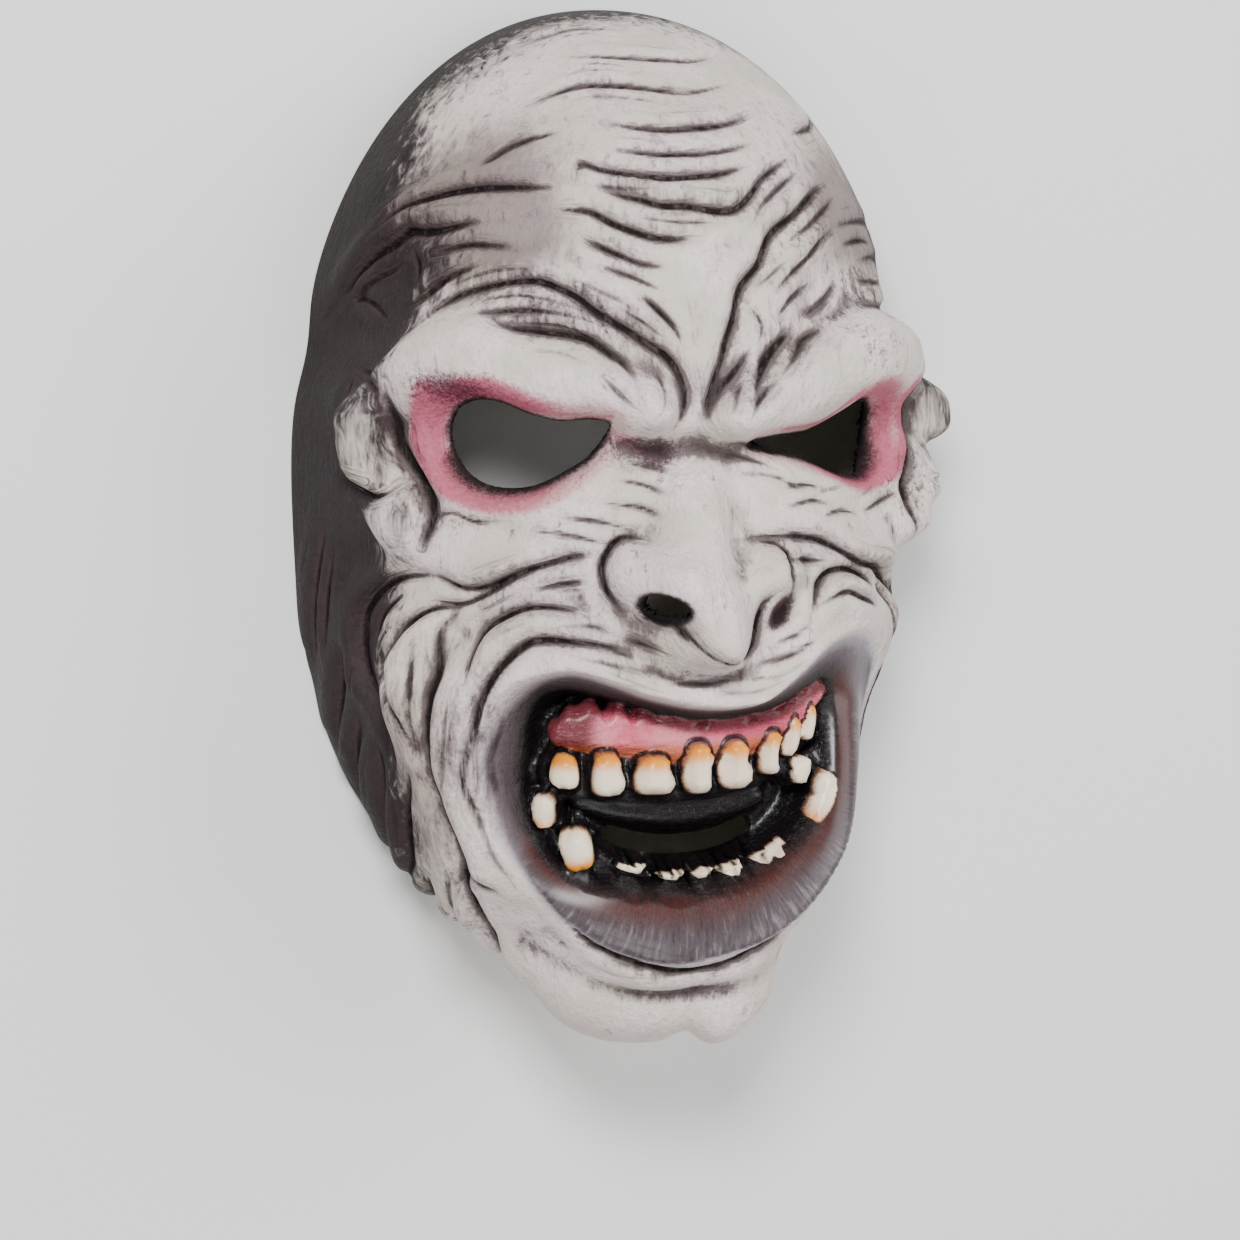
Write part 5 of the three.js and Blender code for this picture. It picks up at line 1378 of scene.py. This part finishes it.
class MaskShell:
    """The casting as one closed mesh: carved outside, smooth inside, and the edges between them."""

    wall = 2.6
    smoothing = 26
    kept_share = 0.57
    pink_bands = (
        ((-60, 13, 3.6, 1), (-62.5, 6, 3.6, 1), (-62, 0, 3.6, 1), (-58, -7, 3.4, 1), (-51, -12, 3.2, 1),
         (-42, -14.4, 2.8, 0.9), (-34, -12.6, 2.8, 0.8), (-27, -9, 2.8, 0.7), (-20, -3.6, 3, 0.6)),
        ((60, 14, 3.4, 1), (66, 5, 3.6, 1), (64, -3, 3.4, 1), (58, -8, 3.2, 1), (50, -10.6, 2.8, 1),
         (40, -10, 2.6, 0.9), (32, -8.4, 2.4, 0.7)),
        ((-52, 13, 2.6, 0.9), (-45, 11, 1.8, 0.9), (-38, 7.6, 1.4, 0.9), (-30, 5.4, 1.2, 0.8),
         (-20, 4.4, 1.4, 0.8)),
        ((20, 1.2, 1.2, 0.8), (28, 2.4, 1.5, 0.9), (34, 5, 1.7, 0.9), (42, 8.8, 2, 0.9),
         (52, 12, 2.6, 0.9)),
        ((-20, 1, 3, 0.6), (-15, -2, 3, 0.6), (-11, -5, 2, 0.3)),
    )

    # Purple paint round the lids; the patch in the pit beside the nose, at (17, -37.5), is painted shade.
    purple_places = (
        Swelling((-51, 14.5), (12, 4.2), 0.85, turn=-12), Swelling((-19, -3), (4, 6), 0.5),
        Swelling((-9, -3), (5, 4), 1.0, power=3), Swelling((17, -37.5), (3.6, 3.4), 1.4, power=3),
        Swelling((-60, 4), (3, 8), 0.35), Swelling((60, 8), (4, 7), 0.4),
    )
    spray_places = (
        Swelling((40, 20), (7, 7), 0.7, power=3), Swelling((47, 35), (9, 6), 1.0, power=3),
        Swelling((-52, -17), (10, 3), 0.7), Swelling((62, -12), (8, 5), 0.7),
        Swelling((28, 44), (8, 10), 0.55, turn=35), Swelling((-30, 27), (16, 4), 0.5, turn=-12),
        Swelling((-6, -8), (16, 6), 0.35), Swelling((-16, -22), (6, 5), 0.4),
        Swelling((-4, -50), (20, 4), 0.35), Swelling((-70, 46), (12, 12), 0.5),
        Swelling((16, -24), (9, 4), 0.4),
    )
    # Dark airbrush at the sides and temples, partly painted shadow, and painted shade in the narrow gaps
    # beside the left eye's drips.
    side_and_shadow_places = (
        Swelling((-88, 38), (24, 22), 0.9, power=3), Swelling((88, 38), (24, 22), 0.7, power=3),
        Swelling((-58, 44), (16, 9), 0.35, turn=12), Swelling((-93, -5), (6, 18), 0.8, power=3),
        Swelling((-78, -12), (6, 2.5), 0.5), Swelling((-69.5, 5), (2, 10), 0.35),
        Swelling((-63.5, -14), (2, 9), 0.3), Swelling((-82, -50), (9, 30), 0.6),
        Swelling((-78, -100), (12, 30), 0.5), Swelling((80, -60), (12, 44), 0.6, power=3),
    )
    # Darker grey-brown patches, laid at given places.
    greyed_places = (
        Swelling((-52, 58), (28, 22), 1.1, power=3), Swelling((58, 58), (22, 24), 0.8, power=3),
        Swelling((-40, 44), (16, 8), 0.65), Swelling((-62, -86), (15, 36), 0.8, power=3),
        Swelling((42, 50), (17, 15), 0.75), Swelling((-30, 25), (18, 4), 0.4, turn=-14),
        Swelling((26, 20), (7, 10), 0.4, turn=-30), Swelling((-14, -4), (8, 7), 0.5),
        Swelling((12, -6), (9, 6), 0.4), Swelling((-44, -18), (18, 3), 0.35),
        Swelling((64, -70), (16, 40), 0.6, power=3), Swelling((0, 76), (40, 12), 0.4),
        Swelling((-50, -30), (18, 5), 0.3), Swelling((24, 34), (7, 14), 0.4, turn=-35),
    )

    def __init__(self, face: Face, grid: SkinGrid, origin: Array) -> None:
        """Takes the face, its grid, and where the row's origin lies, in mm."""
        self.face, self.grid, self.origin = face, grid, origin

    @staticmethod
    def normals(points: Array) -> Array:
        """Normals of a grid of points, from differences along its two ways."""
        return unit(np.cross(np.gradient(points, axis=1), np.gradient(points, axis=0)))

    @staticmethod
    def blurred(values: Array, rounds: int) -> Array:
        """Values smoothed over the grid, each round the mean of a point and its four neighbours."""
        out = values.copy()
        for _ in range(rounds):
            inner = out[1:-1, 1:-1]
            around = out[1:-1, 2:] + out[1:-1, :-2] + out[2:, 1:-1] + out[:-2, 1:-1]
            out[1:-1, 1:-1] = 0.2 * inner + 0.2 * around
        return out

    @staticmethod
    def between(which: Array) -> Array:
        """Whether a grid point has a neighbour whose nearest crease is another one."""
        padded = np.pad(which, 1, mode="edge")
        rows, columns = which.shape
        shifted = [padded[i:i + rows, j:j + columns] for i in range(3) for j in range(3)]
        return np.any([one != which for one in shifted], axis=0)

    def patches(self, places: Sequence[Swelling]) -> Array:
        """Sprayed patches of paint laid together over the grid."""
        return sum(one.rise(self.grid.u, self.grid.v) for one in places)

    def inner_points(self, outer: Array) -> Array:
        """The inside: the outside smoothed, then set in until the wall has its thickness everywhere."""
        soft = self.blurred(outer, self.smoothing)
        normal = self.normals(self.blurred(outer, 3 * self.smoothing))
        rim = np.zeros(outer.shape[:2], bool)
        rim[0], rim[-1], rim[:, 0], rim[:, -1] = True, True, True, True
        gap = self.face.dome.rim_gap(self.grid.u, self.grid.v)
        flat = self.face.dome.normal(self.grid.u, self.grid.v)
        normal = unit(mix(flat, normal, smooth(2.0, 14.0, gap)[..., None]))
        need = ((soft - outer) * normal).sum(-1) + self.wall
        for _ in range(5):
            wide = need.copy()
            for axis in (0, 1):
                for shift in (-1, 1):
                    wide = np.maximum(wide, np.roll(need, shift, axis))
            need = wide
        need = self.blurred(need, 6)
        near_rim = smooth(0.0, 16.0, gap)
        need = mix(self.wall, need, near_rim)
        points = mix(outer, soft, near_rim[..., None]) - need[..., None] * normal
        points[rim, 2] = 0.0
        points[..., 2] = np.maximum(points[..., 2], 0.0)
        return points

    def paint(self, points: Array, masks: dict[str, Array]) -> dict[str, Array]:
        """Works out the paint masks that depend on the finished surface."""
        u, v = self.grid.u, self.grid.v
        face = self.face
        normal = self.normals(points)
        # How far the surface lies below its own smoothed self, at three sizes: wash and painted shade
        # gather where it is hollow.
        hollows = []
        for rounds in (3, 14, 50):
            hollows.append(((self.blurred(points, rounds) - points) * normal).sum(-1))
        masks["hollow"] = np.clip(hollows[0] * 1.7 + hollows[1] * 0.62, 0, 1.5)
        masks["valley_shade"] = np.clip(hollows[2] * 0.42, 0, 1)
        masks["close_by"] = np.where(self.between(masks.pop("which")), 0.0, masks["close_by"])
        for c in range(face.channels):
            masks[f"line_on{c}"] = np.where(self.between(masks.pop(f"which{c}")), 0.0, masks[f"line_on{c}"])
        eyes = face.eyes(u, v, 30.0)
        pink = np.zeros(u.shape)
        for points_read in self.pink_bands:
            pink = np.maximum(pink, Roll(Path(face.carried(points_read))).rise(u, v))
        lid = np.exp(-((eyes + 2.0) / 2.6) ** 2) * (0.55 + 0.45 * smooth(22.0, 40.0, np.abs(u)))
        masks["pink"] = np.clip(np.maximum(pink, lid), 0, 1)
        masks["purple"] = self.patches(self.purple_places)
        masks["spray"] = self.patches(self.spray_places)
        band = 0.8 + 1.3 * smooth(3.0, -4.0, v)
        lids = np.exp(-(np.minimum(eyes, 0.0) / band) ** 2) * (eyes > -9)
        # Painted shade: a thin dark edge round every hole, the nostril and the slit as well as the eyes.
        others = np.exp(-(np.minimum(face.holes(u, v), 0.0) / 0.8) ** 2)
        masks["black_rim_and_hole_shade"] = np.clip(np.maximum(lids, others), 0, 1)
        # Darker towards the rim at the sides and near the rim along the top: dark airbrush, partly painted
        # shadow.
        share = np.clip(1.0 - face.dome.rim_gap(u, v) / 58.0, 0, 1)
        top = 0.9 * np.clip(1.0 - face.dome.rim_gap(u, v) / 30.0, 0, 1) * smooth(40.0, 80.0, v)
        side = np.maximum(1.15 * share ** 1.2 * smooth(34.0, 74.0, np.abs(u)), top)
        masks["side"] = np.clip(side + self.patches(self.side_and_shadow_places), 0, 1.1)
        masks["greyed"] = np.clip(self.patches(self.greyed_places), 0, 1.1)
        masks["away"] = smooth(4.0, -2.0, masks["ring"])
        ring, cavity = masks["ring"], masks["cavity"]
        turn = np.degrees(np.arctan2(v + 78.0, u - 2.0))
        lower = smooth(-178.0, -152.0, turn) * smooth(48.0, 12.0, turn)
        masks["lip_zone"] = smooth(0.6, 2.6, ring) * smooth(1.5, -0.5, cavity) * lower
        masks["gum_dark"] = np.exp(-((cavity - 2.0) / 2.2) ** 2) + smooth(-16.0, -28.0, u)
        masks["gum_stain"] = smooth(-65.0, -69.0, v + 0.16 * np.maximum(u - 8.0, 0.0) * -1.0) * 0.9
        masks["inside"] = np.zeros(u.shape)
        return masks

    def build(self) -> bpy.types.Object:
        """Makes the mesh object with its masks.

        Returns:
            The finished piece, at the origin, in metres.
        """
        points, masks = self.face.shape(self.grid.u, self.grid.v)
        kept = self.blurred((self.grid.on_edge | self.grid.in_hole).astype(float), 2) > 0
        ease = 0.75 * smooth(1.0, -2.0, masks["ring"]) * ~kept
        points = mix(points, self.blurred(points, 1), ease[..., None])
        rim = np.zeros(points.shape[:2], bool)
        rim[0], rim[-1], rim[:, 0], rim[:, -1] = True, True, True, True
        points[rim, 2] = 0.0
        points[..., 2] = np.maximum(points[..., 2], 0.0)
        inner = self.inner_points(points)
        masks = self.paint(points, masks)
        rows, columns = self.grid.u.shape
        number = np.arange(rows * columns).reshape(rows, columns)
        quads = np.stack([number[:-1, :-1], number[:-1, 1:], number[1:, 1:], number[1:, :-1]],
                         axis=-1).reshape(-1, 4)
        gone = self.grid.in_hole.ravel()
        edge = self.grid.on_edge.ravel()
        lost = gone[quads].sum(1)
        whole = quads[(lost == 0) & (edge[quads].sum(1) < 4)]
        closed_in = quads[(lost == 0) & (edge[quads].sum(1) == 4)]
        middle = self.face.holes(self.grid.u.ravel()[closed_in].mean(1),
                                 self.grid.v.ravel()[closed_in].mean(1))
        whole = np.concatenate([whole, closed_in[middle < 0]])
        cut = quads[lost == 1]
        first = np.argmax(gone[cut], axis=1)
        order = (first[:, None] + np.arange(1, 4)) % 4
        triangles = np.take_along_axis(cut, order, axis=1)
        triangles = triangles[(~edge[triangles]).any(axis=1)]
        faces = [*map(tuple, whole.tolist()), *map(tuple, triangles.tolist())]
        sides: dict[tuple[int, int], int] = {}
        for corners in faces:
            for a, b in zip(corners, corners[1:] + corners[:1]):
                sides[(a, b)] = 1
        border = [(a, b) for a, b in sides if (b, a) not in sides]
        count = rows * columns
        back = [tuple(c + count for c in reversed(corners)) for corners in faces]
        wall = [(b, a, a + count, b + count) for a, b in border]
        used = np.zeros(2 * count, bool)
        everything = faces + back + wall
        used[np.fromiter((c for corners in everything for c in corners), int)] = True
        fresh = np.cumsum(used) - 1
        everything = [tuple(int(fresh[c]) for c in corners) for corners in everything]
        places = np.concatenate([points.reshape(-1, 3), inner.reshape(-1, 3)])[used]
        places -= self.origin
        mesh = bpy.data.meshes.new("mask_skin")
        mesh.from_pydata((places * MM).tolist(), [], everything)
        for name, values in masks.items():
            flat = values.ravel().astype(np.float32)
            # The inside keeps the outside's dark hole edges: painted shade on the holes' walls.
            rest = {"inside": np.ones_like(flat), "black_rim_and_hole_shade": flat}.get(name, np.zeros_like(flat))
            stored = mesh.attributes.new(name, "FLOAT", "POINT")
            stored.data.foreach_set("value", np.concatenate([flat, rest])[used])
        mesh.polygons.foreach_set("use_smooth", np.ones(len(mesh.polygons), bool))
        mesh.update()
        piece = bpy.data.objects.new("zombie_mask", mesh)
        bpy.context.collection.objects.link(piece)
        near_edge = self.blurred(edge.reshape(rows, columns).astype(float), 2).ravel() > 0
        free = np.concatenate([np.zeros(count, bool), ~near_edge])
        inner_side = np.nonzero(free[used])[0]
        return self.thinned(piece, inner_side.tolist())

    def thinned(self, piece: bpy.types.Object, inner_side: list[int]) -> bpy.types.Object:
        """Merges faces of the smooth inside, leaving the carved outside as it is."""
        group = piece.vertex_groups.new(name="inner_side")
        group.add(inner_side, 1.0, "REPLACE")
        modifier = piece.modifiers.new("thin", "DECIMATE")
        modifier.vertex_group = group.name
        modifier.vertex_group_factor = 1000.0
        modifier.ratio = self.kept_share
        depsgraph = bpy.context.evaluated_depsgraph_get()
        mesh = bpy.data.meshes.new_from_object(piece.evaluated_get(depsgraph))
        piece.modifiers.clear()
        piece.vertex_groups.clear()
        piece.data = mesh
        return piece


@dataclass
class Studio:
    """A pale floor, soft lights and the camera at the photograph's angle to the mask."""

    sight: Sight = Sight()
    sensor: float = 36.0

    def camera(self, origin: Array) -> None:
        """Places the camera at the sight's eye, level with its axes, at the photograph's scale."""
        sight = self.sight
        data = bpy.data.cameras.new("camera")
        data.sensor_width = self.sensor
        data.lens = sight.pixels_per_mm * sight.distance / sight.photo_size * self.sensor
        data.clip_end = 20.0
        camera = bpy.data.objects.new("camera", data)
        camera.matrix_world = Matrix([tuple(axis) for axis in sight.axes()]).transposed().to_4x4()
        camera.location = Vector(sight.eye() - origin) * MM
        bpy.context.collection.objects.link(camera)
        bpy.context.scene.camera = camera

    def floor(self) -> None:
        """A wide pale floor that the rim lies on."""
        half, level = 3.0, -0.0002
        mesh = bpy.data.meshes.new("floor")
        mesh.from_pydata([(-half, -half, level), (half, -half, level), (half, half, level),
                          (-half, half, level)], [], [(0, 1, 2, 3)])
        floor = bpy.data.objects.new("floor", mesh)
        w = Wires("pale_floor")
        shader = w.node("ShaderNodeBsdfPrincipled", Base_Color=(0.80, 0.80, 0.79), Roughness=0.9)
        w.tree.links.new(shader.outputs[0], w.node("ShaderNodeOutputMaterial").inputs["Surface"])
        mesh.materials.append(w.material)
        bpy.context.collection.objects.link(floor)

    def light(self, name: str, place: tuple[float, float, float], size: float, power: float,
              target: tuple[float, float, float] = (0.0, 0.0, 0.03)) -> None:
        """Adds a square soft light at a place in metres, aimed at the target."""
        data = bpy.data.lights.new(name, "AREA")
        data.size, data.energy = size, power
        lamp = bpy.data.objects.new(name, data)
        aim = Vector(target) - Vector(place)
        lamp.matrix_world = aim.to_track_quat("-Z", "Y").to_matrix().to_4x4()
        lamp.location = place
        bpy.context.collection.objects.link(lamp)

    def sky(self, strength: float) -> None:
        """An even pale surround."""
        world = bpy.data.worlds.new("surround")
        bpy.context.scene.world = world
        world.use_nodes = True
        world.node_tree.nodes["Background"].inputs[0].default_value = (1.0, 0.98, 0.98, 1.0)
        world.node_tree.nodes["Background"].inputs[1].default_value = strength

    def build(self, origin: Array) -> None:
        """Sets the whole studio."""
        self.camera(origin)
        self.floor()
        self.sky(0.24)
        self.light("key", (-0.42, 0.55, 1.1), 0.4, 21.0)
        self.light("fill", (0.8, 0.2, 0.7), 0.7, 7.5)
        self.light("front", (-0.1, -0.7, 1.0), 0.8, 7.0)


def main() -> None:
    """Builds the mask and the studio, and reports each piece."""
    logging.basicConfig(level=logging.INFO, format="%(name)s: %(message)s")
    dome, sight = Dome(), Sight()
    face = Face(dome, sight)
    grid = SkinGrid(face)
    low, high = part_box("mask")
    left, top = dome.reach()
    origin = np.array([left - low[0] / MM, top - high[1] / MM, 0.0])
    LOG.info("row origin at %.3f, %.3f mm", origin[0], origin[1])
    piece = MaskShell(face, grid, origin).build()
    piece.data.materials.append(PaintedLatex().material())
    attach(piece, "root")
    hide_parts("mask")
    piece.data.calc_loop_triangles()
    LOG.info("%s: %d triangles", piece.name, len(piece.data.loop_triangles))
    Studio().build(origin)


if __name__ == "__main__":
    main()
